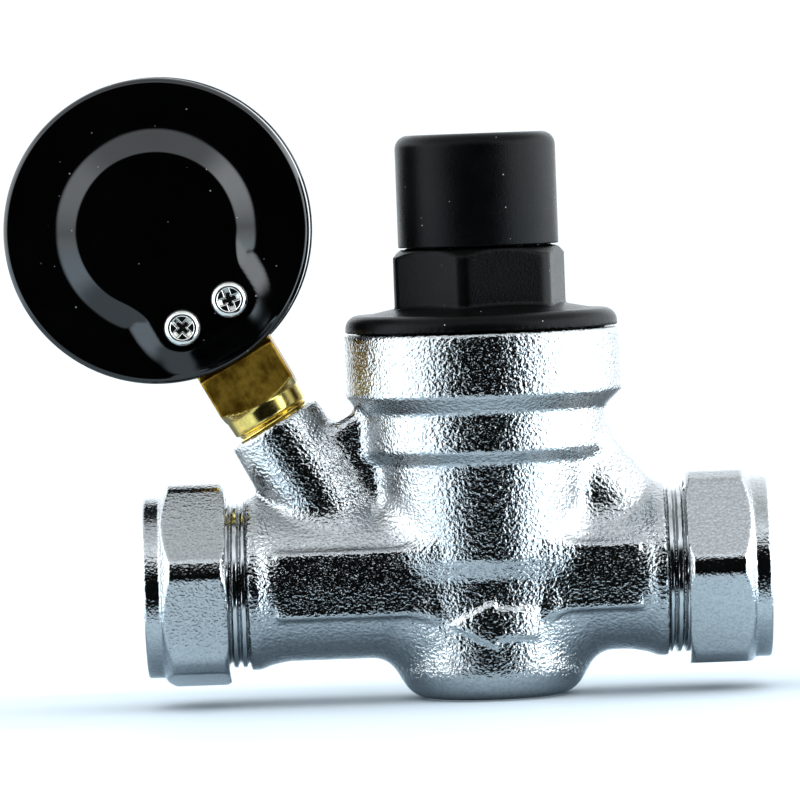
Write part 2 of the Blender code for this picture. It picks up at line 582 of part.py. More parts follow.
def make_bourdon_tube(frame, tip):
    """A flat C-shaped tube from the tongue round to the link, with a pin on its closed tip."""
    start = math.radians(-24.0) + math.tau
    count = 22
    bm = bmesh.new()
    rings = []
    for i in range(count + 1):
        angle = start + (TUBE_TIP - start) * i / count
        outwards = Vector((math.cos(angle), math.sin(angle), 0))
        ring = []
        for r, z in ((-0.8, -5.6), (0.8, -5.6), (0.8, -0.2), (-0.8, -0.2)):
            ring.append(bm.verts.new((outwards * (TUBE_R + r) + Vector((0, 0, z))) * MM))
        rings.append(ring)
    for a, b in zip(rings, rings[1:]):
        for k in range(4):
            bm.faces.new((a[k], a[(k + 1) % 4], b[(k + 1) % 4], b[k]))
    bm.faces.new(rings[0][::-1])
    bm.faces.new(rings[-1])
    bourdon = node("bourdon_tube", bm, BRASS, frame)
    add(bourdon, rod("tube_pin", 0.45, -2, 3.9, None, frame, 12, tip),
        rod("tube_tip_block", 1.2, -5, 0.4, None, frame, 16, tip))


def make_pointer(frame):
    """Pointer at the zero of a 270 degree scale, which starts 45 degrees past the stem."""
    outline = [(-6.5, 0.9), (-6.5, -0.9), (0, -0.9), (20.0, -0.15), (20.0, 0.15), (0, 0.9)]
    zero = math.radians(POINTER_ZERO)
    pointer = prism("gauge_pointer", outline, 11.0, 11.6, POINTER_BLACK, frame, turn=(0, 0, zero))
    add(pointer, turned("pointer_hub", ((0, 12.6), (1.6, 12.6), (2.0, 12.2), (2.0, 10.8), (0, 10.8)),
                        None, frame, 24))
    cut(pointer, rod("pointer_hole", 0.95, 10, 12.2, None, frame, 16))


def main():
    clear_scene()
    inlet = empty("inlet_axis", (0, 0, PIPE_Z), (1, 0, 0), (0, 1, 0))
    outlet = empty("outlet_axis", (0, 0, PIPE_Z), (-1, 0, 0), (0, 1, 0))
    boss = boss_frame()
    gauge = gauge_frame()
    bpy.context.view_layer.update()
    make_body(inlet, outlet, boss)
    make_compression_end("inlet", inlet, INLET_SHOULDER, INLET_NUT_CORNER)
    make_compression_end("outlet", outlet, OUTLET_SHOULDER, OUTLET_NUT_CORNER)
    make_cartridge()
    make_stem()
    make_bonnet()
    make_cap()
    make_spring_group()
    make_case(gauge)
    make_case_screws(gauge)
    make_socket(gauge)
    make_movement(gauge)


main()
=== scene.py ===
"""The finished look of a pressure reducing valve with its pressure gauge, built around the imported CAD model.

Shapes are worked out in millimetres, in the CAD frame, and turned into metres where a mesh is made.
The forged pieces are meshed from distance fields, so that every edge and fillet has its own radius.
"""

import json
import math

import bmesh
import bpy
import numpy as np
from mathutils import Matrix, Vector


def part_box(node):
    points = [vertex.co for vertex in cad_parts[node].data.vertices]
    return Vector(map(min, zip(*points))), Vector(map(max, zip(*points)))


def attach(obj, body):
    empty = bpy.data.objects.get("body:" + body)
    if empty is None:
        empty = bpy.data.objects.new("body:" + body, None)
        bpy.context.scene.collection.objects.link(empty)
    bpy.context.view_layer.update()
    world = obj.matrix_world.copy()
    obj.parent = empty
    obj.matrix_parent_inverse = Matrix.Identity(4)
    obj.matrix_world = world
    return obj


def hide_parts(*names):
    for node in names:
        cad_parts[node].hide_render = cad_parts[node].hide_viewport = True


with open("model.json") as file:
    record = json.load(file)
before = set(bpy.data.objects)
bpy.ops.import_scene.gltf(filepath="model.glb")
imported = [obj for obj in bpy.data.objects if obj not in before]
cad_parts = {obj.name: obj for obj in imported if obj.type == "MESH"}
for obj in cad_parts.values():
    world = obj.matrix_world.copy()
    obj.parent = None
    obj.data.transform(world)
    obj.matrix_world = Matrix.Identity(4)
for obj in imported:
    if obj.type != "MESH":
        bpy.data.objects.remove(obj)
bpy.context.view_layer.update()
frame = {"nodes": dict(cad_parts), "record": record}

MM = 0.001


def box_mm(node):
    low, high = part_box(node)
    return low / MM, high / MM


# ---- driving sizes, from the frame

BODY_LOW, BODY_HIGH = box_mm("valve_body")
NUTS = {side: box_mm(f"{side}_nut") for side in ("inlet", "outlet")}
CAP_LOW, CAP_HIGH = box_mm("protective_cap")
BEZEL_LOW, BEZEL_HIGH = box_mm("gauge_bezel")
CASE_HIGH = box_mm("gauge_case")[1]
BONNET_LOW, BONNET_HIGH = box_mm("bonnet")

PIPE_Z = sum(v.z for v in box_mm("inlet_olive")) / 2
NUT_LENGTH = NUTS["inlet"][1].x - NUTS["inlet"][0].x
BARREL_TOP = BODY_HIGH.z
TAIL_IN_NUT = 6.8  # length of the tail that the nut covers
THREAD_SHOWING = 3.4
TAIL_ENDS = {"inlet": BODY_HIGH.x, "outlet": -BODY_LOW.x}
SHOULDERS = {side: end - TAIL_IN_NUT - THREAD_SHOWING for side, end in TAIL_ENDS.items()}

TAIL_R, SHOULDER_R = 13.4, 14.7
THREAD_CORE_R, THREAD_CREST_R, THREAD_PITCH = 13.35, 14.2, 1.5
PIPE_R, PASSAGE_R, SOCKET_DEPTH = 11.1, 8.5, 17.0
NUT_FLATS, NUT_CORNER_R, NUT_COLLAR_R = 32.4, 17.9, 15.5
NUT_TURN = {"inlet": 4.0, "outlet": 12.0}  # degrees from the front up to a corner
PAD_PLANE, PAD_HALF = 13.6, 5.75
CARTRIDGE_R, CHAMBER_R, BONNET_BORE_R = 12.5, 17.0, 21.0

HEX_FLATS, HEX_CORNER_R, HEX_TURN = 27.0, 15.1, 12.0
HEX_LOW, HEX_HIGH = 65.6, 76.1
FLANGE_R, TOWER_R, TOWER_ROOF = 23.05, 12.2, 83.0

GAUGE_CENTRE = Vector(((BEZEL_LOW.x + BEZEL_HIGH.x) / 2, 0, (BEZEL_LOW.z + BEZEL_HIGH.z) / 2))
GAUGE_R = (BEZEL_HIGH.x - BEZEL_LOW.x) / 2
LEAN = math.radians(29.05)
STEM = Vector((math.sin(LEAN), 0, -math.cos(LEAN)))  # from the gauge's centre down its stem
ACROSS = Vector((0, 1, 0)).cross(STEM)
BOSS_FACE = GAUGE_CENTRE + STEM * 38.2
BOSS_R, BOSS_LENGTH = 8.3, 30.9
GAUGE_AXES = Matrix((STEM, ACROSS, Vector((0, 1, 0)))).transposed().to_4x4()
GAUGE_PLACE = Matrix.Translation(GAUGE_CENTRE) @ GAUGE_AXES
CASE_BACK, PLATEAU_BACK = -8.0, -9.5
SCREW_DOWN, SCREW_ASIDE = 16.2, 4.6  # the case screws, from the gauge's centre
LEFT_CROSS, RIGHT_CROSS = math.radians(-16), math.radians(11)  # how far their recesses are turned
SOCKET_HALF, NECK = 7.0, 37.2  # half the square socket, and where it ends along the stem
TURNED_END = NECK - 4.9  # where the square gives way to the turned end
SOCKET_END = [(20, 10.4), (TURNED_END, 10.4), (NECK - 3.0, 6.9), (NECK - 0.4, 6.75), (NECK, 6.3),
              (NECK + 1, 6.0)]
DIAL_ZERO, DIAL_SWEEP = -45, -270  # degrees, seen from the back

CELLS = {"body": (0.9, 0.55), "nut": (0.6, 0.34), "bonnet": (0.8, 0.42), "screw": (0.24, 0.12),
         "socket": (0.6, 0.32)}
BOX_FACES = ((3, 2, 1, 0), (4, 5, 6, 7), (0, 1, 5, 4), (1, 2, 6, 5), (2, 3, 7, 6), (3, 0, 4, 7))


# ---- distance fields

def rounded_and(a, b, r):
    """Where both shapes are, with their shared outer edge rounded to r."""
    a, b = a + r, b + r
    return np.hypot(np.maximum(a, 0), np.maximum(b, 0)) + np.minimum(np.maximum(a, b), 0) - r


def rounded_or(a, b, r):
    """Both shapes, with a fillet of radius r where they meet."""
    return -rounded_and(-a, -b, r)


def rounded_box(u, v, w, half, r):
    offsets = [np.abs(c) - h + r for c, h in zip((u, v, w), half)]
    outside = np.sqrt(sum(np.maximum(q, 0) ** 2 for q in offsets))
    return outside + np.minimum(np.maximum.reduce(offsets), 0) - r


def polygon_field(u, v, points):
    """Signed distance to a closed outline in the (u, v) plane, below 0 inside."""
    nearest = np.full(u.shape, 1e9)
    inside = np.zeros(u.shape, bool)
    for (ax, ay), (bx, by) in zip(points, points[1:] + points[:1]):
        ex, ey = bx - ax, by - ay
        wx, wy = u - ax, v - ay
        t = np.clip((wx * ex + wy * ey) / (ex * ex + ey * ey), 0, 1)
        nearest = np.minimum(nearest, (wx - ex * t) ** 2 + (wy - ey * t) ** 2)
        crosses = (ay <= v) != (by <= v)
        if by != ay:
            inside ^= crosses & (u < ax + (v - ay) * ex / (by - ay))
    return np.where(inside, -1, 1) * np.sqrt(nearest)


def radius_field(rho, s, stations, soften=0.5):
    """Distance to a turned surface given as (s, radius) stations, with its corners softened."""
    s0, s1 = stations[0][0], stations[-1][0]
    fine = np.linspace(s0, s1, int((s1 - s0) / 0.05) + 1)
    radius = np.interp(fine, [p[0] for p in stations], [p[1] for p in stations])
    width = max(1, int(soften / 0.05))
    window = np.hanning(2 * width + 1)
    padded = np.concatenate([np.full(width, radius[0]), radius, np.full(width, radius[-1])])
    smooth = np.convolve(padded, window / window.sum(), "valid")
    slope = np.gradient(smooth, fine)
    return (rho - np.interp(s, fine, smooth)) / np.sqrt(1 + np.interp(s, fine, slope) ** 2)


def hexagon_field(u, v, flats, corner):
    """Distance to a hexagon with one corner at that angle, in degrees, from u towards v."""
    faces = []
    for k in range(3):
        angle = math.radians(corner + 30 + 60 * k)
        faces.append(np.abs(u * math.cos(angle) + v * math.sin(angle)) - flats / 2)
    return rounded_and(rounded_and(faces[0], faces[1], 0.3), faces[2], 0.3)


def surface_net(field, low, high, step):
    """Closed quad mesh of field < 0: one vertex for each cell that the surface crosses, moved onto it."""
    axes = [np.arange(a - 1.5 * step, b + 2.5 * step, step) for a, b in zip(low, high)]
    x, y, z = np.meshgrid(*axes, indexing="ij")
    value = field(x, y, z)
    inside = value < 0
    n = [m - 1 for m in value.shape]
    corners = [(i, j, k) for i in (0, 1) for j in (0, 1) for k in (0, 1)]
    count = sum(inside[i:i + n[0], j:j + n[1], k:k + n[2]].astype(np.int8) for i, j, k in corners)
    cells = np.argwhere((count > 0) & (count < 8))
    index = np.full(n, -1)
    index[tuple(cells.T)] = np.arange(len(cells))
    total = np.zeros((len(cells), 3))
    crossings = np.zeros(len(cells))
    for a in corners:
        for axis in range(3):
            if a[axis]:
                continue
            b = tuple(c + (i == axis) for i, c in enumerate(a))
            va, vb = value[tuple((cells + a).T)], value[tuple((cells + b).T)]
            cross = (va < 0) != (vb < 0)
            t = np.where(cross, va / np.where(va == vb, 1, va - vb), 0)
            point = np.array(a, float) + t[:, None] * (np.array(b) - np.array(a))
            total += point * cross[:, None]
            crossings += cross
    points = (cells + total / crossings[:, None]) * step + np.array([a[0] for a in axes])
    home = points.copy()
    tiny = 0.02
    for _ in range(3):
        here = field(*points.T)
        slope = np.stack([field(*(points + tiny * e).T) - field(*(points - tiny * e).T)
                          for e in np.eye(3)], 1) / (2 * tiny)
        points -= here[:, None] * slope / np.maximum((slope ** 2).sum(1), 0.05)[:, None]
        points = home + np.clip(points - home, -0.6 * step, 0.6 * step)
    quads = []
    for axis in range(3):
        u, v = [d for d in range(3) if d != axis]
        lower = [slice(1, -1)] * 3
        lower[axis] = slice(0, -1)
        upper = list(lower)
        upper[axis] = slice(1, None)
        first, second = inside[tuple(lower)], inside[tuple(upper)]
        edges = np.argwhere(first != second)
        at = edges + 1
        at[:, axis] -= 1
        out = first[tuple(edges.T)]
        ring = []
        for du, dv in ((-1, -1), (0, -1), (0, 0), (-1, 0)):
            cell = at.copy()
            cell[:, u] += du
            cell[:, v] += dv
            ring.append(index[tuple(cell.T)])
        ring = np.stack(ring, 1)
        turn = out if axis != 1 else ~out
        ring[~turn] = ring[~turn][:, ::-1]
        quads.append(ring)
    return points, np.concatenate(quads)


# ---- mesh helpers

def mesh_object(name, points, faces, material, smooth_angle=None):
    mesh = bpy.data.meshes.new(name)
    faces = faces.tolist() if isinstance(faces, np.ndarray) else faces
    mesh.from_pydata((np.asarray(points, float) * MM).tolist(), [], faces)
    return finish_mesh(name, mesh, material, smooth_angle)


def finish_mesh(name, mesh, material, smooth_angle):
    mesh.materials.append(material)
    mesh.shade_smooth()
    if smooth_angle is not None:
        mesh.set_sharp_from_angle(angle=math.radians(smooth_angle))
    obj = bpy.data.objects.new(name, mesh)
    bpy.context.scene.collection.objects.link(obj)
    return obj


def cell(piece):
    quick, finished = CELLS[piece]
    return finished


def field_object(name, field, low, high, step, material):
    points, quads = surface_net(field, low, high, step)
    return mesh_object(name, points, quads, material, 50)


def machine(obj, radius, beyond):
    """Gives a turned finish to faces within radius of the pipe axis, beyond these distances from the middle."""
    centres = np.empty(3 * len(obj.data.polygons))
    obj.data.polygons.foreach_get("center", centres)
    x, y, z = centres.reshape(-1, 3).T / MM
    bored = (np.hypot(y, z - PIPE_Z) < radius) & ((x > beyond["inlet"]) | (x < -beyond["outlet"]))
    obj.data.materials.append(MACHINED)
    obj.data.polygons.foreach_set("material_index", bored.astype(np.int32))


def rounded_outline(outline, radius=0.25, count=3):
    """The outline with each corner that has room turned into a short arc."""
    made = []
    size = len(outline)
    for i, corner in enumerate(outline):
        before, after = Vector(outline[i - 1]), Vector(outline[(i + 1) % size])
        corner = Vector(corner)
        if corner.x < 1e-6:
            made.append(tuple(corner))
            continue
        a, b = before - corner, after - corner
        reach = min(radius, a.length * 0.45, b.length * 0.45)
        if reach < 0.02 or a.angle(b) > math.radians(172):
            made.append(tuple(corner))
            continue
        start, end = corner + a.normalized() * reach, corner + b.normalized() * reach
        for k in range(count + 1):
            t = k / count
            made.append(tuple(start * (1 - t) ** 2 + corner * 2 * t * (1 - t) + end * t ** 2))
    return made


def turned(name, outline, material, place=Matrix(), steps=96, edge=0.25, smooth_angle=40):
    """A turned piece about local Z from (radius, height) points, its edges rounded."""
    outline = rounded_outline(outline, edge)
    bm = bmesh.new()
    verts = [bm.verts.new((r, 0, z)) for r, z in outline]
    edges = [bm.edges.new(pair) for pair in zip(verts, verts[1:] + verts[:1])
             if pair[0].co.x > 1e-6 or pair[1].co.x > 1e-6]
    bmesh.ops.spin(bm, geom=verts + edges, cent=(0, 0, 0), axis=(0, 0, 1),
                   angle=math.tau, steps=steps, use_merge=True)
    bmesh.ops.remove_doubles(bm, verts=bm.verts, dist=1e-4)
    bmesh.ops.recalc_face_normals(bm, faces=bm.faces)
    bmesh.ops.transform(bm, matrix=Matrix.Scale(MM, 4) @ place, verts=bm.verts)
    mesh = bpy.data.meshes.new(name)
    bm.to_mesh(mesh)
    bm.free()
    return finish_mesh(name, mesh, material, smooth_angle)


def threaded_sleeve(name, span, step, around, radius, inner, place, material, smooth_angle, flip=False):
    """A sleeve with radius(s, turn) outside and inner inside, where place(s, r, angle) puts it in the frame."""
    start, end = span
    along = int((end - start) / step)
    stations = [start + (end - start) * i / along for i in range(along + 1)]
    rings = [(s, [radius(s, k / around) for k in range(around)]) for s in stations]
    rings += [(s, [inner] * around) for s in (end, start)]
    points = [place(s, r, math.tau * k / around) for s, radii in rings for k, r in enumerate(radii)]
    count = len(rings)
    faces = [(a * around + k, (a + 1) % count * around + k,
              (a + 1) % count * around + (k + 1) % around, a * around + (k + 1) % around)
             for a in range(count) for k in range(around)]
    return mesh_object(name, points, [f[::-1] for f in faces] if flip else faces, material, smooth_angle)


def put(obj, body, slot, *nodes):
    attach(obj, body)
    if nodes:
        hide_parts(*nodes)
    return obj


# ---- materials

class Nodes:
    """Builds one material's node tree."""

    def __init__(self, name, colour, metallic=0.0, roughness=0.4, **sockets):
        self.material = bpy.data.materials.new(name)
        self.material.use_nodes = True
        self.tree = self.material.node_tree
        self.shader = self.tree.nodes["Principled BSDF"]
        self.set("Base Color", (*colour, 1.0))
        self.set("Metallic", metallic)
        self.set("Roughness", roughness)
        for socket, value in sockets.items():
            self.set(socket.replace("_", " "), value)
        self.coordinates = self.tree.nodes.new("ShaderNodeTexCoord").outputs["Object"]

    def set(self, socket, value):
        self.shader.inputs[socket].default_value = value

    def link(self, output, socket):
        self.tree.links.new(output, self.shader.inputs[socket])

    def stretched(self, scale, lean=0.0):
        """The coordinates scaled, after a turn by lean about Y."""
        mapping = self.tree.nodes.new("ShaderNodeMapping")
        mapping.vector_type = "TEXTURE"
        mapping.inputs["Rotation"].default_value = (0.0, lean, 0.0)
        mapping.inputs["Scale"].default_value = tuple(1 / s for s in scale)
        self.tree.links.new(self.coordinates, mapping.inputs["Vector"])
        return mapping.outputs["Vector"]

    def noise(self, per_metre, detail=2.0, roughness=0.5, vector=None):
        node = self.tree.nodes.new("ShaderNodeTexNoise")
        node.inputs["Scale"].default_value = per_metre
        node.inputs["Detail"].default_value = detail
        node.inputs["Roughness"].default_value = roughness
        self.tree.links.new(vector or self.coordinates, node.inputs["Vector"])
        return node.outputs["Fac"]

    def dust(self, per_metre, colour):
        """Sparse pale flecks over whatever feeds the base colour."""
        cells = self.tree.nodes.new("ShaderNodeTexVoronoi")
        cells.inputs["Scale"].default_value = per_metre
        self.tree.links.new(self.coordinates, cells.inputs["Vector"])
        near = self.between(cells.outputs["Distance"], 1.0, 0.0, 0.05, 0.09)
        few = self.between(cells.outputs["Color"], 0.0, 1.0, 0.70, 0.73)
        both = self.tree.nodes.new("ShaderNodeMath")
        both.operation = "MULTIPLY"
        self.tree.links.new(near, both.inputs[0])
        self.tree.links.new(few, both.inputs[1])
        mixed = self.tree.nodes.new("ShaderNodeMix")
        mixed.data_type = "RGBA"
        base = self.shader.inputs["Base Color"]
        self.tree.links.new(both.outputs[0], mixed.inputs["Factor"])
        self.tree.links.new(base.links[0].from_socket, mixed.inputs["A"])
        mixed.inputs["B"].default_value = (*colour, 1.0)
        self.tree.links.new(mixed.outputs["Result"], base)

    def ramp(self, value, *stops):
        node = self.tree.nodes.new("ShaderNodeValToRGB")
        ramp = node.color_ramp
        while len(ramp.elements) < len(stops):
            ramp.elements.new(0.5)
        for element, (position, colour) in zip(ramp.elements, stops):
            element.position = position
            element.color = (*colour, 1.0) if len(colour) == 3 else colour
        self.tree.links.new(value, node.inputs["Fac"])
        return node.outputs["Color"]

    def between(self, value, low, high, start=0.0, end=1.0):
        node = self.tree.nodes.new("ShaderNodeMapRange")
        node.inputs["From Min"].default_value = start
        node.inputs["From Max"].default_value = end
        node.inputs["To Min"].default_value = low
        node.inputs["To Max"].default_value = high
        self.tree.links.new(value, node.inputs["Value"])
        return node.outputs["Result"]

    def add(self, a, b, share=1.0):
        node = self.tree.nodes.new("ShaderNodeMath")
        node.operation = "MULTIPLY_ADD"
        self.tree.links.new(b, node.inputs[0])
        node.inputs[1].default_value = share
        self.tree.links.new(a, node.inputs[2])
        return node.outputs["Value"]

    def paint(self, value, *stops):
        self.link(self.ramp(value, *stops), "Base Color")

    def polish(self, value, low, high):
        self.link(self.between(value, low, high), "Roughness")

    def bump(self, height, depth_mm):
        node = self.tree.nodes.new("ShaderNodeBump")
        node.inputs["Strength"].default_value = 1.0
        node.inputs["Distance"].default_value = depth_mm * MM
        self.tree.links.new(height, node.inputs["Height"])
        self.link(node.outputs["Normal"], "Normal")
        return self


CHROME = (0.405, 0.418, 0.425)


def shade(colour, share):
    return tuple(share * c for c in colour)


def chrome_forging(name, grain_mm, depth_mm, squash):
    """Chrome plate over a blasted forging: short ripples about a grain high, over broader waves."""
    made = Nodes(name, CHROME, metallic=1.0, roughness=0.12)
    grain = 1000 / grain_mm
    ripples = made.noise(grain, 1.6, 0.5, made.stretched((1 / squash, 1 / squash, squash)))
    waves = made.noise(grain / 3, 1.0, 0.5)
    made.paint(ripples, (0.30, shade(CHROME, 0.82)), (0.62, shade(CHROME, 1.05)))
    made.polish(made.noise(260, 3), 0.05, 0.12)
    return made.bump(made.add(ripples, waves, 0.3), depth_mm).material


def chrome_machined(name):
    """Chrome over a turned surface, with fine tool marks."""
    made = Nodes(name, shade(CHROME, 1.15), metallic=1.0, roughness=0.10)
    lines = made.noise(400, 2, 0.5, made.stretched((14, 1, 1)))
    made.polish(lines, 0.04, 0.12)
    return made.bump(lines, 0.004).material


def moulded_plastic(name):
    made = Nodes(name, (0.002, 0.002, 0.002), roughness=0.28, Specular_IOR_Level=0.07)
    speck = made.noise(3400, 3, 0.7)
    cloud = made.noise(160, 4, 0.6)
    made.paint(cloud, (0.35, (0.0012, 0.0012, 0.0012)), (0.70, (0.0030, 0.0030, 0.0031)))
    made.polish(made.noise(420, 5, 0.7), 0.22, 0.36)
    made.dust(640, (0.55, 0.55, 0.53))
    return made.bump(made.add(speck, made.noise(1700, 2, 0.5), 0.6), 0.036).material


def black_enamel(name):
    made = Nodes(name, (0.0003, 0.0003, 0.0004), roughness=0.10)
    haze = made.noise(90, 5, 0.6)
    made.paint(haze, (0.35, (0.0002, 0.0002, 0.0002)), (0.75, (0.0008, 0.0008, 0.0009)))
    made.polish(made.noise(700, 6, 0.75), 0.06, 0.15)
    made.dust(560, (0.34, 0.36, 0.38))
    return made.bump(made.noise(900, 2, 0.5), 0.004).material


def stained_brass(name):
    """Drawn brass with stains and a lengthwise grain."""
    made = Nodes(name, (0.30, 0.20, 0.04), metallic=0.93, roughness=0.36)
    stain = made.noise(330, 6, 0.68)
    streak = made.noise(1300, 3, 0.6, made.stretched((1, 1, 0.22), -LEAN))
    mixed = made.add(stain, streak, 0.35)
    made.paint(mixed, (0.40, (0.085, 0.038, 0.003)), (0.56, (0.18, 0.090, 0.007)), (0.80, (0.40, 0.24, 0.03)))
    made.polish(stain, 0.26, 0.54)
    return made.bump(made.add(streak, stain, 0.5), 0.05).material


def bright_brass(name, colour=(0.72, 0.55, 0.16)):
    made = Nodes(name, colour, metallic=1.0, roughness=0.16)
    lines = made.noise(1500, 2, 0.5)
    made.paint(lines, (0.3, shade(colour, 0.8)), (0.7, colour))
    made.polish(made.noise(500, 3), 0.10, 0.26)
    return made.bump(lines, 0.006).material


def plated_steel(name, colour=(0.55, 0.55, 0.54), roughness=0.16):
    made = Nodes(name, colour, metallic=1.0, roughness=roughness)
    made.polish(made.noise(900, 4, 0.6), 0.7 * roughness, 1.5 * roughness)
    made.paint(made.noise(600, 3), (0.35, shade(colour, 0.85)), (0.65, colour))
    return made.bump(made.noise(2400, 2), 0.006).material


def rubber(name):
    made = Nodes(name, (0.02, 0.02, 0.021), roughness=0.65)
    made.polish(made.noise(1800, 3), 0.55, 0.78)
    made.paint(made.noise(300, 3), (0.3, (0.014, 0.014, 0.015)), (0.7, (0.030, 0.030, 0.031)))
    return made.bump(made.noise(3000, 2), 0.01).material


def painted(name, colour, roughness=0.5):
    made = Nodes(name, colour, roughness=roughness)
    made.paint(made.noise(150, 4), (0.3, shade(colour, 0.93)), (0.7, colour))
    made.polish(made.noise(1200, 3), 0.85 * roughness, 1.15 * roughness)
    return made.bump(made.noise(2500, 2), 0.003).material


def clear_window(name):
    made = Nodes(name, (1.0, 1.0, 1.0), roughness=0.02, IOR=1.49, Transmission_Weight=1.0)
    made.polish(made.noise(300, 3), 0.0, 0.04)
    return made.bump(made.noise(60, 1), 0.001).material


FORGED = chrome_forging("chrome_forged_body", 0.55, 0.235, 1.08)
FORGED_FINE = chrome_forging("chrome_forged_nut", 0.46, 0.105, 1.0)
MACHINED = chrome_machined("chrome_machined")
PLASTIC = moulded_plastic("moulded_black_plastic")
ENAMEL = black_enamel("black_enamel")
STAINED = stained_brass("stained_brass")
BRIGHT = bright_brass("bright_brass")
NICKEL = plated_steel("nickel_plate", (0.66, 0.65, 0.62), 0.10)
STEEL = plated_steel("satin_steel", (0.42, 0.43, 0.44), 0.30)
RUBBER = rubber("black_rubber")
ACETAL = painted("white_acetal", (0.78, 0.78, 0.74), 0.45)
DIAL_PAINT = painted("dial_white_paint", (0.90, 0.90, 0.87), 0.55)
DIAL_INK = painted("dial_black_ink", (0.012, 0.012, 0.013), 0.50)
WINDOW = clear_window("clear_window")


# ---- valve body

def barrel_field(rho, z):
    stations = [(0, 15.9), (20.4, 15.9), (23.9, 17.6), (40.1, 18.5), (42.1, 20.6), (48.7, 20.6), (51.5, 23.5),
                (BARREL_TOP, 23.5)]
    side = radius_field(rho, z, stations, 0.5)
    return rounded_and(rounded_and(side, -z, 5.4), z - BARREL_TOP, 0.5)


def tail_field(rho, s, side):
    shoulder = SHOULDERS[side]
    stations = [(0, TAIL_R), (shoulder - 6.5, TAIL_R), (shoulder - 3.6, TAIL_R + 0.55),
                (shoulder - 1.6, SHOULDER_R), (shoulder + 1, SHOULDER_R)]
    outer = rounded_and(radius_field(rho, s, stations, 0.8), s - shoulder, 0.35)
    core = rounded_and(rho - THREAD_CORE_R, s - TAIL_ENDS[side], 0.4)
    return np.maximum(np.minimum(outer, core), -s)


def socket_field(rho, s, side):
    end = TAIL_ENDS[side]
    stations = [(0, 0.5), (end - SOCKET_DEPTH - 1.6, 0.5), (end - SOCKET_DEPTH - 1.5, PASSAGE_R),
                (end - SOCKET_DEPTH, PASSAGE_R), (end - SOCKET_DEPTH + 0.1, PIPE_R), (end - 3.5, PIPE_R),
                (end + 1, PIPE_R + 2.2 + 0.63)]
    return np.maximum(radius_field(rho, s, stations, 0.1), end - SOCKET_DEPTH - 1.5 - s)


def bar_field(x, y, z, start, end, r_start, r_end, edge):
    start, end = np.array(start, float), np.array(end, float)
    length = np.linalg.norm(end - start)
    d = (end - start) / length
    px, py, pz = x - start[0], y - start[1], z - start[2]
    s = px * d[0] + py * d[1] + pz * d[2]
    rho = np.sqrt(np.maximum(px * px + py * py + pz * pz - s * s, 0))
    side = rho - (r_start + (r_end - r_start) * np.clip(s / length, 0, 1))
    return rounded_and(rounded_and(side, s - length, edge), -s, edge), s, rho


ARROW = [(7.9, 10.3), (7.9, 15.9), (0.9, 15.9), (0.9, 17.5), (-7.9, 13.1), (0.9, 8.7), (0.9, 10.3)]
WEB = [(-31.0, 40.0), (-25.8, 47.0), (-21.8, 49.3), (-15.0, 49.0), (-14.0, 25.0), (-24.0, 25.0)]


def body_field(x, y, z):
    rho = np.hypot(x, y)
    tail_rho = np.hypot(y, z - PIPE_Z)
    face = np.array(BOSS_FACE)
    foot = face + np.array(STEM) * BOSS_LENGTH
    tails = np.minimum(tail_field(tail_rho, x, "inlet"), tail_field(tail_rho, -x, "outlet"))
    gusset, _, _ = bar_field(x, y, z, (9.0, 0, 45.0), (22.0, 0, 28.6), 9.0, 9.0, 3.0)
    boss, boss_s, boss_rho = bar_field(x, y, z, foot, face, BOSS_R + 0.7, BOSS_R, 0.45)
    web = rounded_and(polygon_field(x, z, WEB), np.abs(y) - 5.6, 2.0)
    pads = np.minimum(
        rounded_box(x + 22.9, y, z - PIPE_Z, (13.4, PAD_PLANE, PAD_HALF), 0.9),
        rounded_box(x - 17.4, y, z - PIPE_Z, (8.0, PAD_PLANE, PAD_HALF), 0.9))
    solid = rounded_or(tails, pads, 0.9)
    blend = np.interp(z, (11.0, 17.0), (4.6, 3.4))
    solid = rounded_or(barrel_field(rho, z), solid, blend)
    solid = rounded_or(solid, gusset, 2.0)
    solid = rounded_or(solid, rounded_or(boss, web, 2.2), 2.0)
    raised = np.maximum(polygon_field(x, z, ARROW) + 0.85 * np.maximum(rho - 15.9, 0), rho - 16.5)
    raised = np.maximum(raised, np.maximum(y, 12.5 - rho))
    solid = rounded_or(solid, raised, 0.35)
    thread_gap = np.maximum(THREAD_CORE_R - tail_rho, SHOULDERS["inlet"] - x)
    solid = np.maximum(solid, -np.maximum(thread_gap, tail_rho - 22))
    bores = radius_field(rho, z, [(0, CARTRIDGE_R), (44, CARTRIDGE_R), (44.1, CHAMBER_R), (54.5, CHAMBER_R),
                                  (54.6, BONNET_BORE_R), (BARREL_TOP + 2, BONNET_BORE_R)], 0.1)
    bores = np.maximum(bores, 4.0 - z)
    inlet_port, _, _ = bar_field(x, y, z, (9, 0, 15.5), (SHOULDERS["inlet"] - 6, 0, 17.0), 6.0, 6.0, 0.2)
    outlet_port, _, _ = bar_field(x, y, z, (-9, 0, 31.0), (-SHOULDERS["outlet"] + 6, 0, 21.5), 5.5, 5.5, 0.2)
    gauge_hole = np.maximum(boss_rho - 6.85, BOSS_LENGTH - 11.5 - boss_s)
    gauge_hole = np.minimum(gauge_hole, np.maximum(boss_rho - 2.2, 3 - boss_s))
    cuts = (bores, inlet_port, outlet_port, gauge_hole, socket_field(tail_rho, x, "inlet"),
            socket_field(tail_rho, -x, "outlet"))
    for cut in cuts:
        solid = rounded_and(solid, -cut, 0.2)
    return solid


def make_body():
    body = field_object("valve_body_forging", body_field, BODY_LOW, BODY_HIGH, cell("body"), FORGED)
    machine(body, PIPE_R + 0.5, {side: end - SOCKET_DEPTH - 1.8 for side, end in TAIL_ENDS.items()})
    put(body, "valve", "chrome", "valve_body")
    for side, sign in (("inlet", 1), ("outlet", -1)):
        put(make_thread(f"{side}_tail_thread", side, sign), "valve", "chrome")


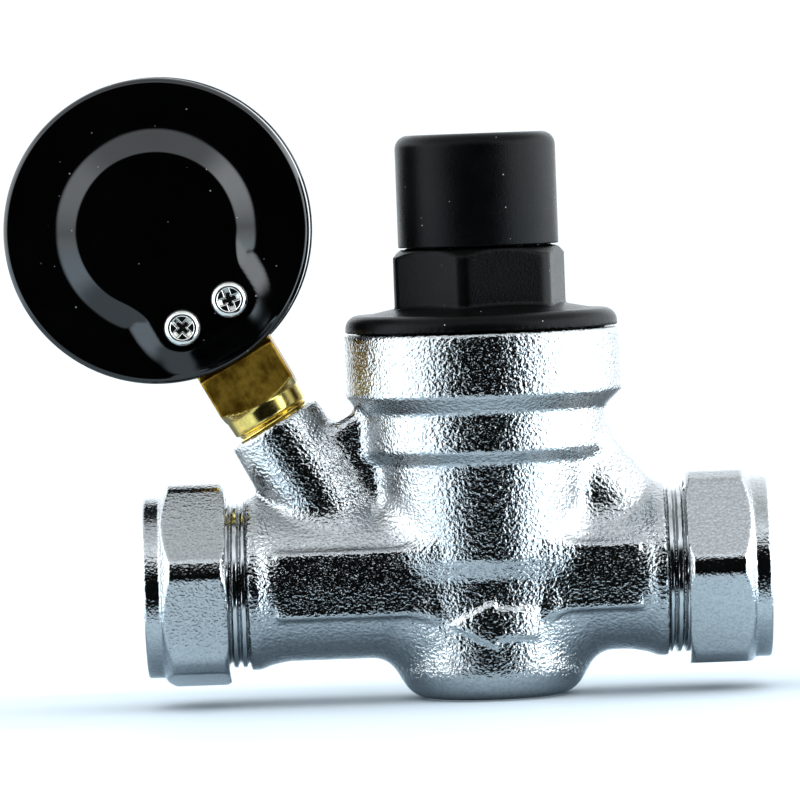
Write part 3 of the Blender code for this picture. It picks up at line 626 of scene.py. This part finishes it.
def make_thread(name, side, sign):
    """The male thread: a sleeve whose radius follows a 60 degree helix between shoulder and tail end."""
    start, end = SHOULDERS[side] - 0.3, TAIL_ENDS[side] - 0.3
    root = THREAD_CORE_R - 0.05

    def radius(s, turn):
        fade = min(1.0, (s - start) / 0.7, (end - s) / 0.9)
        phase = (s / THREAD_PITCH - turn) % 1.0
        ridge = max(0.0, min(1.0, 1.9 * (1 - abs(2 * phase - 1)) - 0.1))
        return root + (THREAD_CREST_R - THREAD_CORE_R + 0.05) * ridge * max(fade, 0.0)

    def place(s, r, angle):
        return sign * s, sign * r * math.sin(angle), PIPE_Z + r * math.cos(angle)

    return threaded_sleeve(name, (start, end), 0.1, 120, radius, PIPE_R + 1.6, place, MACHINED, 28)


# ---- nuts and olives

def make_nut(side, sign):
    inner_face = NUTS[side][0].x if sign > 0 else -NUTS[side][1].x
    outer_face = inner_face + NUT_LENGTH
    collar = outer_face - 2.6
    outside = [(inner_face - 1, 15.6), (inner_face, 16.9), (inner_face + 0.8, NUT_CORNER_R),
               (collar - 1.9, NUT_CORNER_R), (collar - 0.15, NUT_COLLAR_R), (outer_face + 1, NUT_COLLAR_R)]
    bore_r = 14.4
    inside = [(inner_face - 1, bore_r + 1.5), (inner_face + 0.5, bore_r), (outer_face - 5.2, bore_r),
              (outer_face - 4.2, 13.4), (outer_face - 2.0, PIPE_R + 0.2), (outer_face + 1, PIPE_R + 0.2)]

    def field(x, y, z):
        s, up = sign * x, z - PIPE_Z
        rho = np.hypot(y, up)
        hexagon = hexagon_field(-y, up, NUT_FLATS, NUT_TURN[side])
        solid = rounded_and(hexagon, radius_field(rho, s, outside, 0.2), 0.25)
        solid = rounded_and(rounded_and(solid, s - outer_face, 0.5), inner_face - s, 0.2)
        return rounded_and(solid, -radius_field(rho, s, inside, 0.15), 0.25)

    low, high = NUTS[side]
    nut = field_object(f"{side}_compression_nut", field, low, high, cell("nut"), FORGED_FINE)
    machine(nut, bore_r + 0.4, TAIL_ENDS | {side: 0.0})
    put(nut, f"{side}_nut", "chrome", f"{side}_nut")
    axis = Matrix.Translation((0, 0, PIPE_Z)) @ Matrix.Rotation(math.radians(90 * sign), 4, "Y")
    start = outer_face - 8.3
    outline = [(PIPE_R + 0.1, start), (PIPE_R + 0.8, start), (13.0, start + 2.0), (13.0, start + 3.3),
               (PIPE_R + 0.8, start + 5.3), (PIPE_R + 0.1, start + 5.3)]
    olive = turned(f"{side}_brass_olive", outline, BRIGHT, axis, 96, 0.2)
    put(olive, f"{side}_olive", "brass", f"{side}_olive")


# ---- bonnet and cap

def bonnet_field(x, y, z):
    rho = np.hypot(x, y)
    low = BARREL_TOP + 0.3
    flange = rounded_and(rounded_and(rho - FLANGE_R, z - (HEX_LOW - 0.35), 2.3), low - z, 0.15)
    cone = np.maximum((z - 66.3) + 0.20 * (rho - 14.0), np.maximum(rho - 20.4, low - z))
    skirt = np.maximum(rho - BONNET_BORE_R + 0.3, np.maximum(z - low - 1, 56.9 - z))
    corners = radius_field(rho, z, [(HEX_LOW - 3, HEX_CORNER_R), (HEX_HIGH - 1.3, HEX_CORNER_R),
                                    (HEX_HIGH, 13.2), (HEX_HIGH + 1, 12.0)], 0.15)
    hexagon = rounded_and(hexagon_field(x, -y, HEX_FLATS, 90 + HEX_TURN), corners, 0.2)
    hexagon = np.maximum(rounded_and(hexagon, z - HEX_HIGH, 0.2), HEX_LOW - 2 - z)
    tower = rounded_and(rounded_and(rho - TOWER_R, z - BONNET_HIGH.z, 0.6), HEX_LOW - z, 0.1)
    solid = rounded_or(np.minimum(flange, cone), hexagon, 0.4)
    solid = np.minimum(np.minimum(solid, tower), skirt)
    bore = radius_field(rho, z, [(56, 16.8), (57.2, 14.2), (61.6, 14.2), (61.7, 10.2), (TOWER_ROOF, 10.2),
                                 (TOWER_ROOF + 0.1, 6.15), (BONNET_HIGH.z + 1, 6.15)], 0.1)
    return rounded_and(solid, -bore, 0.2)


def make_bonnet_and_cap():
    bonnet = field_object("moulded_bonnet", bonnet_field, BONNET_LOW, BONNET_HIGH, cell("bonnet"), PLASTIC)
    put(bonnet, "valve", "black_plastic", "bonnet")
    radius, top = CAP_HIGH.x, CAP_HIGH.z
    wall, roof, round_r = 1.1, 2.2, 2.3
    fillet = [(radius - round_r + round_r * math.sin(a), top - round_r + round_r * math.cos(a))
              for a in (math.radians(7.5 * i) for i in range(13))]
    inside = [(radius, CAP_LOW.z), (radius - wall, CAP_LOW.z), (radius - wall, top - roof), (0, top - roof)]
    outline = [(0, top)] + fillet + inside
    cap = turned("push_fit_cap", outline, PLASTIC, steps=128, edge=0.3)
    put(cap, "cap", "black_plastic", "protective_cap")


# ---- gauge

def keyhole_height(x, y):
    """How far the pressed panel stands out of the case's back, in its plane, 0 to 1."""
    dome = np.hypot(x, y) - 13.2
    lobe = rounded_and(np.abs(y) - 8.7, x - 20.2, 4.0)
    lobe = np.maximum(lobe, -x)
    inside = rounded_or(dome, lobe, 2.5)
    flank = 4.2
    ramp = 1 - inside / flank
    top, foot = 0.08, 0.20  # share of the flank over which its edges turn
    ramp = np.where(ramp < foot, np.maximum(ramp + foot, 0) ** 2 / (4 * foot), ramp)
    return np.where(ramp > 1 - top, 1 - np.maximum(1 + top - ramp, 0) ** 2 / (4 * top), ramp)


def make_case():
    """The case as nested rings: pressed back, side wall, rim, and back down the inside."""
    around = 192
    radius = CASE_HIGH.x - GAUGE_CENTRE.x
    roll = 1.1
    back_rings = [(r, None) for r in np.linspace(0.4, radius - roll, 100)]
    side = [(radius - roll + roll * math.sin(a), CASE_BACK + roll - roll * math.cos(a))
            for a in (math.radians(9 * i) for i in range(1, 11))]
    rest = side + [(radius, 9.5), (24.9, 9.55), (24.9, 13.9), (24.75, 14.0), (24.0, 14.0), (23.9, 13.9),
                   (23.9, 9.2), (22.9, 9.2)]
    inner_back = [(22.9, None)] + [(r, None) for r in np.linspace(22.4, 0.4, 40)]
    points, faces, rings = [], [], 0
    angles = np.linspace(0, math.tau, around, endpoint=False)
    for profile, pressed, offset in ((back_rings, 1, 0.0), (rest, 0, 0.0), (inner_back, 0, 1.2)):
        for r, z in profile:
            x, y = r * np.cos(angles), r * np.sin(angles)
            raised = keyhole_height(x, y)
            inward = np.clip((radius - 1.6 - r) / 5.0, 0, 1)
            dish = 0.4 * inward * inward * (3 - 2 * inward) * (1 - raised)
            height = (CASE_BACK - PLATEAU_BACK) * raised - dish
            level = np.full(around, z) if z is not None else CASE_BACK - height * pressed + offset
            points.append(np.stack([x, y, level], 1))
            rings += 1
    for a in range(rings - 1):
        for k in range(around):
            n = (k + 1) % around
            faces.append((a * around + k, a * around + n, (a + 1) * around + n, (a + 1) * around + k))
    faces.append(tuple(range(around))[::-1])
    faces.append(tuple(range((rings - 1) * around, rings * around)))
    mesh = bpy.data.meshes.new("gauge_case_pressing")
    world = [tuple((GAUGE_PLACE @ Vector(p)) * MM) for p in np.concatenate(points)]
    mesh.from_pydata(world, [], [f[::-1] for f in faces])
    case = finish_mesh("gauge_case_pressing", mesh, ENAMEL, 50)
    gap = SOCKET_HALF + 0.3
    cut_box(case, (21.0, -gap, -6.4), (28.5, gap, gap))
    for side in (-1, 1):
        cut_round(case, 1.8, -11, -5, (SCREW_DOWN, SCREW_ASIDE * side, 0))
    return case


def gauge_helper(points, faces):
    mesh = bpy.data.meshes.new("cutter")
    mesh.from_pydata([tuple((GAUGE_PLACE @ Vector(p)) * MM) for p in points], [], faces)
    helper = bpy.data.objects.new("cutter", mesh)
    bpy.context.scene.collection.objects.link(helper)
    return helper


def apply_cut(obj, helper):
    modifier = obj.modifiers.new("cut", "BOOLEAN")
    modifier.operation = "DIFFERENCE"
    modifier.object = helper
    modifier.solver = "EXACT"
    bpy.context.view_layer.update()
    made = bpy.data.meshes.new_from_object(obj.evaluated_get(bpy.context.evaluated_depsgraph_get()))
    obj.modifiers.clear()
    obj.data = made
    bpy.data.objects.remove(helper)


def cut_box(obj, low, high):
    points = [(x, y, z) for z in (low[2], high[2]) for x, y in
              ((low[0], low[1]), (high[0], low[1]), (high[0], high[1]), (low[0], high[1]))]
    apply_cut(obj, gauge_helper(points, BOX_FACES))


def cut_round(obj, radius, low, high, centre, steps=40):
    angles = [math.tau * k / steps for k in range(steps)]
    ring = [(centre[0] + radius * math.cos(a), centre[1] + radius * math.sin(a)) for a in angles]
    points = [(x, y, z) for z in (low, high) for x, y in ring]
    faces = [tuple(range(steps))[::-1], tuple(range(steps, 2 * steps))]
    faces += [(k, (k + 1) % steps, steps + (k + 1) % steps, steps + k) for k in range(steps)]
    apply_cut(obj, gauge_helper(points, faces))


def make_screw(label, centre, turn):
    """A pan-head screw with a dished cross recess."""
    seat, top = PLATEAU_BACK - 0.05, PLATEAU_BACK - 1.9

    def field(x, y, z):
        rho = np.hypot(x, y)
        head = rounded_and(rounded_and(rho - 3.1, top - z, 1.1), z - seat, 0.1)
        shank = rounded_and(rounded_and(rho - 1.5, z + 2.0, 0.3), seat - 0.5 - z, 0.1)
        solid = np.minimum(head, shank)
        u = x * math.cos(turn) + y * math.sin(turn)
        v = -x * math.sin(turn) + y * math.cos(turn)
        depth = z - top
        taper = 0.22 * depth
        arms = np.minimum(np.maximum(np.abs(u) - 1.95 + taper * 2.2, np.abs(v) - 0.55 + taper * 0.5),
                          np.maximum(np.abs(v) - 1.95 + taper * 2.2, np.abs(u) - 0.55 + taper * 0.5))
        arms = np.minimum(arms, rho - 0.85 + 0.5 * depth)
        recess = np.maximum(arms, depth - 1.35)
        dish = np.maximum(rho - 2.0, depth - 0.10)
        return rounded_and(rounded_and(solid, -dish, 0.12), -recess, 0.16)

    points, quads = surface_net(field, (-3.2, -3.2, top), (3.2, 3.2, -2.0), cell("screw"))
    place = GAUGE_PLACE @ Matrix.Translation(centre)
    world = np.array([place @ Vector(p) for p in points])
    screw = mesh_object(f"case_screw_{label}", world, quads, NICKEL, 50)
    put(screw, "valve", "nickel", f"gauge_screw_{label}")


def gauge_socket_field(x, y, z):
    """The square socket with its turned end, in the gauge's own axes."""
    half = SOCKET_HALF
    front = np.interp(x, (25.4, 25.9), (half - 0.9, half))
    square = rounded_and(rounded_and(np.abs(y) - half, z - half, 0.35), -z - front, 0.35)
    square = rounded_and(square, np.maximum(x - NECK, 23.9 - x), 0.2)
    rho = np.hypot(y, z)
    cone = radius_field(rho, x, SOCKET_END, 0.12)
    block = rounded_and(square, cone, 0.2)
    thread = np.maximum(radius_field(rho, x, [(NECK - 3, 6.1), (47.2, 6.1), (47.7, 5.6)], 0.1),
                        np.maximum(x - 47.7, NECK - 3 - x))
    tongue = rounded_box(x - 17.2, y, z + 2.9, (7.75, 6.0, 3.6), 0.4)
    solid = np.minimum(np.minimum(block, thread), tongue)
    bore = np.maximum(rho - 1.5, 13 - x)
    solid = rounded_and(solid, -bore, 0.1)
    for side in (-1, 1):
        hole = np.hypot(x - SCREW_DOWN, y - SCREW_ASIDE * side) - 1.75
        hole = np.maximum(hole, np.maximum(z + 1.6, -9 - z))
        solid = rounded_and(solid, -hole, 0.1)
    return solid


def make_socket():
    half = SOCKET_HALF
    points, quads = surface_net(gauge_socket_field, (9.4, -half, -half), (47.8, half, half), cell("socket"))
    world = np.array([GAUGE_PLACE @ Vector(p) for p in points])
    socket = mesh_object("gauge_socket_block", world, quads, STAINED, 50)
    along, across, out = points[quads].mean(1).T
    turned_r = np.interp(along, *zip(*SOCKET_END))
    socket.data.materials.append(BRIGHT)
    bright = (along > TURNED_END) & (np.hypot(across, out) > turned_r - 0.2) | (along > NECK - 0.5)
    socket.data.polygons.foreach_set("material_index", bright.astype(np.int32))
    put(socket, "valve", "brass_socket", "gauge_socket")
    put(make_gauge_thread(), "valve", "brass_socket")


def make_gauge_thread():
    start, end, pitch = 37.1, 47.2, 1.337

    def radius(s, turn):
        fade = max(0.0, min(1.0, (s - start) / 0.4, (end - s) / 0.6))
        ridge = 0.5 - 0.5 * math.cos(math.tau * ((s / pitch - turn) % 1.0))
        return 5.95 + 0.62 * ridge * fade

    def place(s, r, angle):
        return GAUGE_PLACE @ Vector((s, r * math.cos(angle), r * math.sin(angle)))

    return threaded_sleeve("gauge_socket_thread", (start, end), 0.11, 96, radius, 4.5, place, BRIGHT, 35,
                           flip=True)


def make_dial():
    """Dial plate with marks, an arc and the even numbers from 0 to 10."""
    low, face = 9.5, 10.3
    outline = [(1.4, low), (23.5, low), (23.5, face), (1.4, face)]
    plate = turned("dial_plate", outline, DIAL_PAINT, GAUGE_PLACE, 128, 0.1)
    put(plate, "valve", "dial_white", "gauge_dial")
    quads, points = [], []

    def mark(share, r_in, r_out, width):
        """A thin block across the dial's rim, at that share of the sweep."""
        base = len(points)
        angle = math.radians(DIAL_ZERO + DIAL_SWEEP * share)
        along = Vector((math.cos(angle), math.sin(angle), 0))
        across = Vector((-along.y, along.x, 0)) * width / 2
        corners = [along * r_in - across, along * r_out - across, along * r_out + across, along * r_in + across]
        for lift in (face - 0.05, face + 0.12):
            points.extend([c + Vector((0, 0, lift)) for c in corners])
        quads.extend([tuple(base + i for i in f) for f in BOX_FACES])

    marks_in_sweep, arc_pieces = 50, 90
    for i in range(marks_in_sweep + 1):
        numbered = i % 5 == 0
        mark(i / marks_in_sweep, 18.6 if numbered else 19.8, 21.4, 0.5 if numbered else 0.22)
    for i in range(arc_pieces):
        mark((i + 0.5) / arc_pieces, 21.4, 21.7, 1.2)
    marks = mesh_object("dial_marks", [GAUGE_PLACE @ p for p in points], quads, DIAL_INK, 30)
    put(marks, "valve", "pointer_black")
    for i in range(0, 11, 2):
        angle = math.radians(DIAL_ZERO + DIAL_SWEEP * i / 10)
        centre = GAUGE_PLACE @ Vector((15.4 * math.cos(angle), 15.4 * math.sin(angle), face + 0.02))
        text = bpy.data.curves.new(f"dial_number_{i}", "FONT")
        text.body = str(i)
        text.size = 4.2 * MM
        text.align_x, text.align_y = "CENTER", "CENTER"
        text.extrude = 0.05 * MM
        number = bpy.data.objects.new(f"dial_number_{i}", text)
        bpy.context.scene.collection.objects.link(number)
        number.matrix_world = Matrix.Translation(centre * MM) @ number_turn()
        number.data.materials.append(DIAL_INK)
        put(number, "valve", "pointer_black")


def number_turn():
    """Text stands upright to a reader who looks at the dial with the stem pointing down."""
    up, out = -STEM, Vector((0, 1, 0))
    right = up.cross(out)
    return Matrix((right, up, out)).transposed().to_4x4()


def make_pointer():
    outline = [(-7.0, 1.15), (-7.0, -1.15), (-2.5, -0.75), (0, -0.9), (12, -0.62), (20.4, -0.12),
               (20.4, 0.12), (12, 0.62), (0, 0.9), (-2.5, 0.75)]
    zero = Matrix.Rotation(math.radians(DIAL_ZERO), 4, "Z")
    points = [GAUGE_PLACE @ (zero @ Vector((x, y, z))) for z in (11.0, 11.45) for x, y in outline]
    size = len(outline)
    faces = [tuple(range(size)), tuple(range(size, 2 * size))[::-1]]
    faces += [(k + size, (k + 1) % size + size, (k + 1) % size, k) for k in range(size)]
    blade = mesh_object("pointer_blade", points, faces, DIAL_INK, 30)
    bevel = blade.modifiers.new("edge", "BEVEL")
    bevel.width, bevel.segments = 0.08 * MM, 2
    put(blade, "pointer", "pointer_black", "gauge_pointer")
    outline = [(0.9, 10.8), (2.1, 10.8), (2.1, 12.2), (1.5, 12.6), (0.9, 12.6)]
    hub = turned("pointer_hub_boss", outline, BRIGHT, GAUGE_PLACE, 48, 0.15)
    put(hub, "pointer", "brass")


def make_gauge():
    put(make_case(), "valve", "black_enamel", "gauge_case")
    outline = [(25.2, 9.8), (GAUGE_R - 0.15, 9.8), (GAUGE_R, 10.1), (GAUGE_R, 15.9), (GAUGE_R - 0.5, 16.8),
               (GAUGE_R - 1.4, 17.3), (23.8, 17.3), (22.95, 16.6), (22.95, 16.1), (25.2, 16.1)]
    bezel = turned("gauge_bezel_ring", outline, ENAMEL, GAUGE_PLACE, 192, 0.3)
    put(bezel, "valve", "black_enamel", "gauge_bezel")
    outline = [(0, 15.8), (24.9, 15.8), (24.9, 14.3), (0, 14.3)]
    window = turned("gauge_window_pane", outline, WINDOW, GAUGE_PLACE, 128, 0.2)
    put(window, "valve", "clear", "gauge_window")
    make_screw("left", (SCREW_DOWN, SCREW_ASIDE, 0), LEFT_CROSS)
    make_screw("right", (SCREW_DOWN, -SCREW_ASIDE, 0), RIGHT_CROSS)
    make_socket()
    make_dial()
    make_pointer()


# ---- pieces that keep their CAD shape

def finish_cad_nodes():
    by_slot = {"chrome": MACHINED, "brass": BRIGHT, "brass_socket": STAINED, "steel": STEEL, "nickel": NICKEL,
               "black_plastic": PLASTIC, "inner_plastic": ACETAL, "black_enamel": ENAMEL, "rubber": RUBBER,
               "dial_white": DIAL_PAINT, "pointer_black": DIAL_INK, "clear": WINDOW}
    slots = {s["node"]: s["material_slot"] for s in frame["record"]["subparts"]}
    for name, node in frame["nodes"].items():
        node.data.materials.clear()
        node.data.materials.append(by_slot[slots[name]])


# ---- studio

LEFT_GLOW, RIGHT_GLOW, BACK_GLOW, TOP_GLOW, HIGH_GLOW, ZENITH_GLOW = 3.3, 4.8, 1.8, 1.8, 1.12, 0.60
OPENING_GLOW = 0.006
LOW_GLOW, LOW_BACK, LOW_DOWN = 1.25, 0.30, 1.15  # the table as metal mirrors it: around, behind and beneath
BACKDROP_GLOW = 1.10  # what the camera sees behind the valve
SKY_TINT, TABLE_TINT = (0.93, 0.995, 1.04, 1.0), (0.78, 0.95, 1.08, 1.0)
ROOM_LIGHT, ROOM_SIDES = 1.42, 0.3  # what matt surfaces receive on the floor, and from the horizon
DARK_LEFT, DARK_RIGHT = (-1.05, -0.70), (0.70, 1.00)  # edges of the dark opening, radians from -Y


def make_studio():
    scene = bpy.context.scene
    scene.view_settings.view_transform = "Standard"
    make_floor()
    make_world(scene)
    for name, place, size, power in (
            ("left_softbox", (-0.62, -0.05, 0.22), (0.50, 0.55), 0.5),
            ("right_softbox", (0.62, -0.10, 0.22), (0.50, 0.55), 0.9),
            ("top_softbox", (0.0, 0.15, 0.85), (0.8, 0.6), 0.6)):
        data = bpy.data.lights.new(name, "AREA")
        data.shape, data.size, data.size_y = "RECTANGLE", size[0], size[1]
        data.energy = power
        light = bpy.data.objects.new(name, data)
        scene.collection.objects.link(light)
        light.location = place
        light.rotation_euler = (Vector((0, 0, 0.05)) - Vector(place)).to_track_quat("-Z", "Y").to_euler()


def make_floor():
    made = Nodes("studio_floor", (0.75, 0.81, 0.855), roughness=0.6, Specular_IOR_Level=0.15)
    made.polish(made.noise(3, 2), 0.58, 0.64)
    mesh = bpy.data.meshes.new("studio_floor")
    corners = [(-0.40, -0.26, 0), (0.40, -0.26, 0), (0.40, 0.70, 0), (-0.40, 0.70, 0)]
    mesh.from_pydata(corners, [], [(0, 1, 2, 3)])
    floor = finish_mesh("studio_floor", mesh, made.material, None)
    floor.visible_glossy = False  # the world's lower half stands in for it in the metal
    # A card seen only in reflections, lying just under the valve. It is painted shadow: the shaded table
    # beneath the valve as the metal mirrors it, darker along the middle line and paler to each side.
    made = Nodes("painted_shadow_card", (0.55, 0.67, 0.76), roughness=0.9, Specular_IOR_Level=0.0)
    split = made.tree.nodes.new("ShaderNodeSeparateXYZ")
    made.tree.links.new(made.coordinates, split.inputs[0])
    aside = made.tree.nodes.new("ShaderNodeMath")
    aside.operation = "ABSOLUTE"
    made.tree.links.new(split.outputs["Y"], aside.inputs[0])
    # painted shadow: darkest within 8 mm of the middle line under the valve, fading out by 22 mm
    painted_shadow_fade = made.between(aside.outputs[0], 0.0, 1.0, 0.008, 0.022)
    made.paint(painted_shadow_fade, (0.0, (0.40, 0.51, 0.60)), (1.0, (0.75, 0.90, 1.0)))
    mesh = bpy.data.meshes.new("painted_shadow_card")
    corners = [(x, y, 0.0001) for x, y in ((-0.10, -0.036), (0.09, -0.036), (0.09, 0.036), (-0.10, 0.036))]
    mesh.from_pydata(corners, [], [(0, 1, 2, 3)])
    under = finish_mesh("painted_shadow_card", mesh, made.material, None)
    under.visible_camera = under.visible_diffuse = under.visible_shadow = False


def make_world(scene):
    """A white tent with a dark opening towards -Y, which only mirror-like surfaces show."""
    world = bpy.data.worlds.new("studio")
    scene.world = world
    world.use_nodes = True
    tree = world.node_tree
    tree.nodes.clear()
    new, link = tree.nodes.new, tree.links.new

    def calc(operation, a, b=None):
        node = new("ShaderNodeMath")
        node.operation = operation
        for socket, value in zip(node.inputs, (a, b)):
            if isinstance(value, (int, float)):
                socket.default_value = value
            elif value is not None:
                link(value, socket)
        return node.outputs[0]

    def step(value, low, high):
        """0 below low, 1 above high; either way round."""
        node = new("ShaderNodeMapRange")
        node.interpolation_type = "SMOOTHSTEP"
        node.inputs["From Min"].default_value, node.inputs["From Max"].default_value = low, high
        link(value, node.inputs["Value"])
        return node.outputs["Result"]

    def mix(factor, a, b):
        """a where factor is 0 and b where it is 1."""
        return calc("ADD", calc("MULTIPLY", calc("SUBTRACT", 1.0, factor), a), calc("MULTIPLY", factor, b))

    split = new("ShaderNodeSeparateXYZ")
    link(new("ShaderNodeTexCoord").outputs["Generated"], split.inputs[0])
    x, y, z = split.outputs
    azimuth = calc("ARCTAN2", x, calc("MULTIPLY", y, -1.0))
    spread = calc("ABSOLUTE", azimuth)
    narrower = calc("MULTIPLY", calc("ABSOLUTE", z), 0.6)
    from_left = step(calc("SUBTRACT", azimuth, narrower), *DARK_LEFT)
    from_right = step(calc("ADD", azimuth, narrower), *DARK_RIGHT)
    opening = calc("MULTIPLY", from_left, calc("SUBTRACT", 1.0, from_right))
    sides = mix(step(azimuth, -0.2, 0.2), LEFT_GLOW, RIGHT_GLOW)
    around = mix(opening, mix(step(spread, 1.9, 2.5), sides, BACK_GLOW), OPENING_GLOW)
    sky = mix(step(z, 0.44, 0.66), around, TOP_GLOW)
    sky = mix(step(z, 0.70, 0.92), sky, HIGH_GLOW)
    sky = mix(step(z, 0.955, 0.995), sky, ZENITH_GLOW)
    table = mix(step(spread, 1.9, 2.4), LOW_GLOW, LOW_BACK)
    front = calc("MULTIPLY", opening, step(z, -0.56, -0.38))
    to_right = calc("MULTIPLY", step(azimuth, 0.12, 0.26), calc("SUBTRACT", 1.0, step(azimuth, 0.70, 0.95)))
    front = calc("MAXIMUM", front, calc("MULTIPLY", to_right, step(z, -0.76, -0.66)))
    table = mix(front, table, OPENING_GLOW)
    table = mix(step(z, -0.90, -0.98), table, LOW_DOWN)
    below = step(z, -0.06, -0.20)
    mirrored = mix(calc("MULTIPLY", below, step(spread, 1.9, 2.4)), sky, table)
    mirrored = mix(step(z, -0.36, -0.54), mirrored, table)
    path = new("ShaderNodeLightPath")
    room = calc("ADD", calc("MULTIPLY", calc("MAXIMUM", z, 0.0), 1.5 * (ROOM_LIGHT - ROOM_SIDES)), ROOM_SIDES)
    seen = mix(path.outputs["Is Glossy Ray"], room, mirrored)
    seen = mix(path.outputs["Is Camera Ray"], seen, BACKDROP_GLOW)
    tint = new("ShaderNodeMix")
    tint.data_type = "RGBA"
    tint.inputs["A"].default_value = SKY_TINT
    tint.inputs["B"].default_value = TABLE_TINT
    link(calc("MULTIPLY", below, path.outputs["Is Glossy Ray"]), tint.inputs["Factor"])
    background = new("ShaderNodeBackground")
    link(tint.outputs["Result"], background.inputs["Color"])
    link(seen, background.inputs["Strength"])
    link(background.outputs[0], new("ShaderNodeOutputWorld").inputs["Surface"])


def make_camera():
    """Long lens from the front, slightly above, and rolled a little to the right."""
    distance, width = 1.2, 0.1356
    elevation, roll = math.radians(2.0), math.radians(2.1)
    target = Vector((-0.0142, 0, 0.0507))
    data = bpy.data.cameras.new("camera")
    data.sensor_width = 36.0
    data.lens = data.sensor_width * distance / width
    data.clip_start, data.clip_end = 0.05, 50
    camera = bpy.data.objects.new("camera", data)
    bpy.context.scene.collection.objects.link(camera)
    back = Vector((0, -math.cos(elevation), math.sin(elevation)))
    turn = (-back).to_track_quat("-Z", "Y").to_matrix().to_4x4()
    camera.matrix_world = Matrix.Translation(target + back * distance) @ turn @ Matrix.Rotation(-roll, 4, "Z")
    bpy.context.scene.camera = camera


make_camera()
make_studio()
finish_cad_nodes()
make_body()
make_nut("inlet", 1)
make_nut("outlet", -1)
make_bonnet_and_cap()
make_gauge()

bpy.context.view_layer.update()
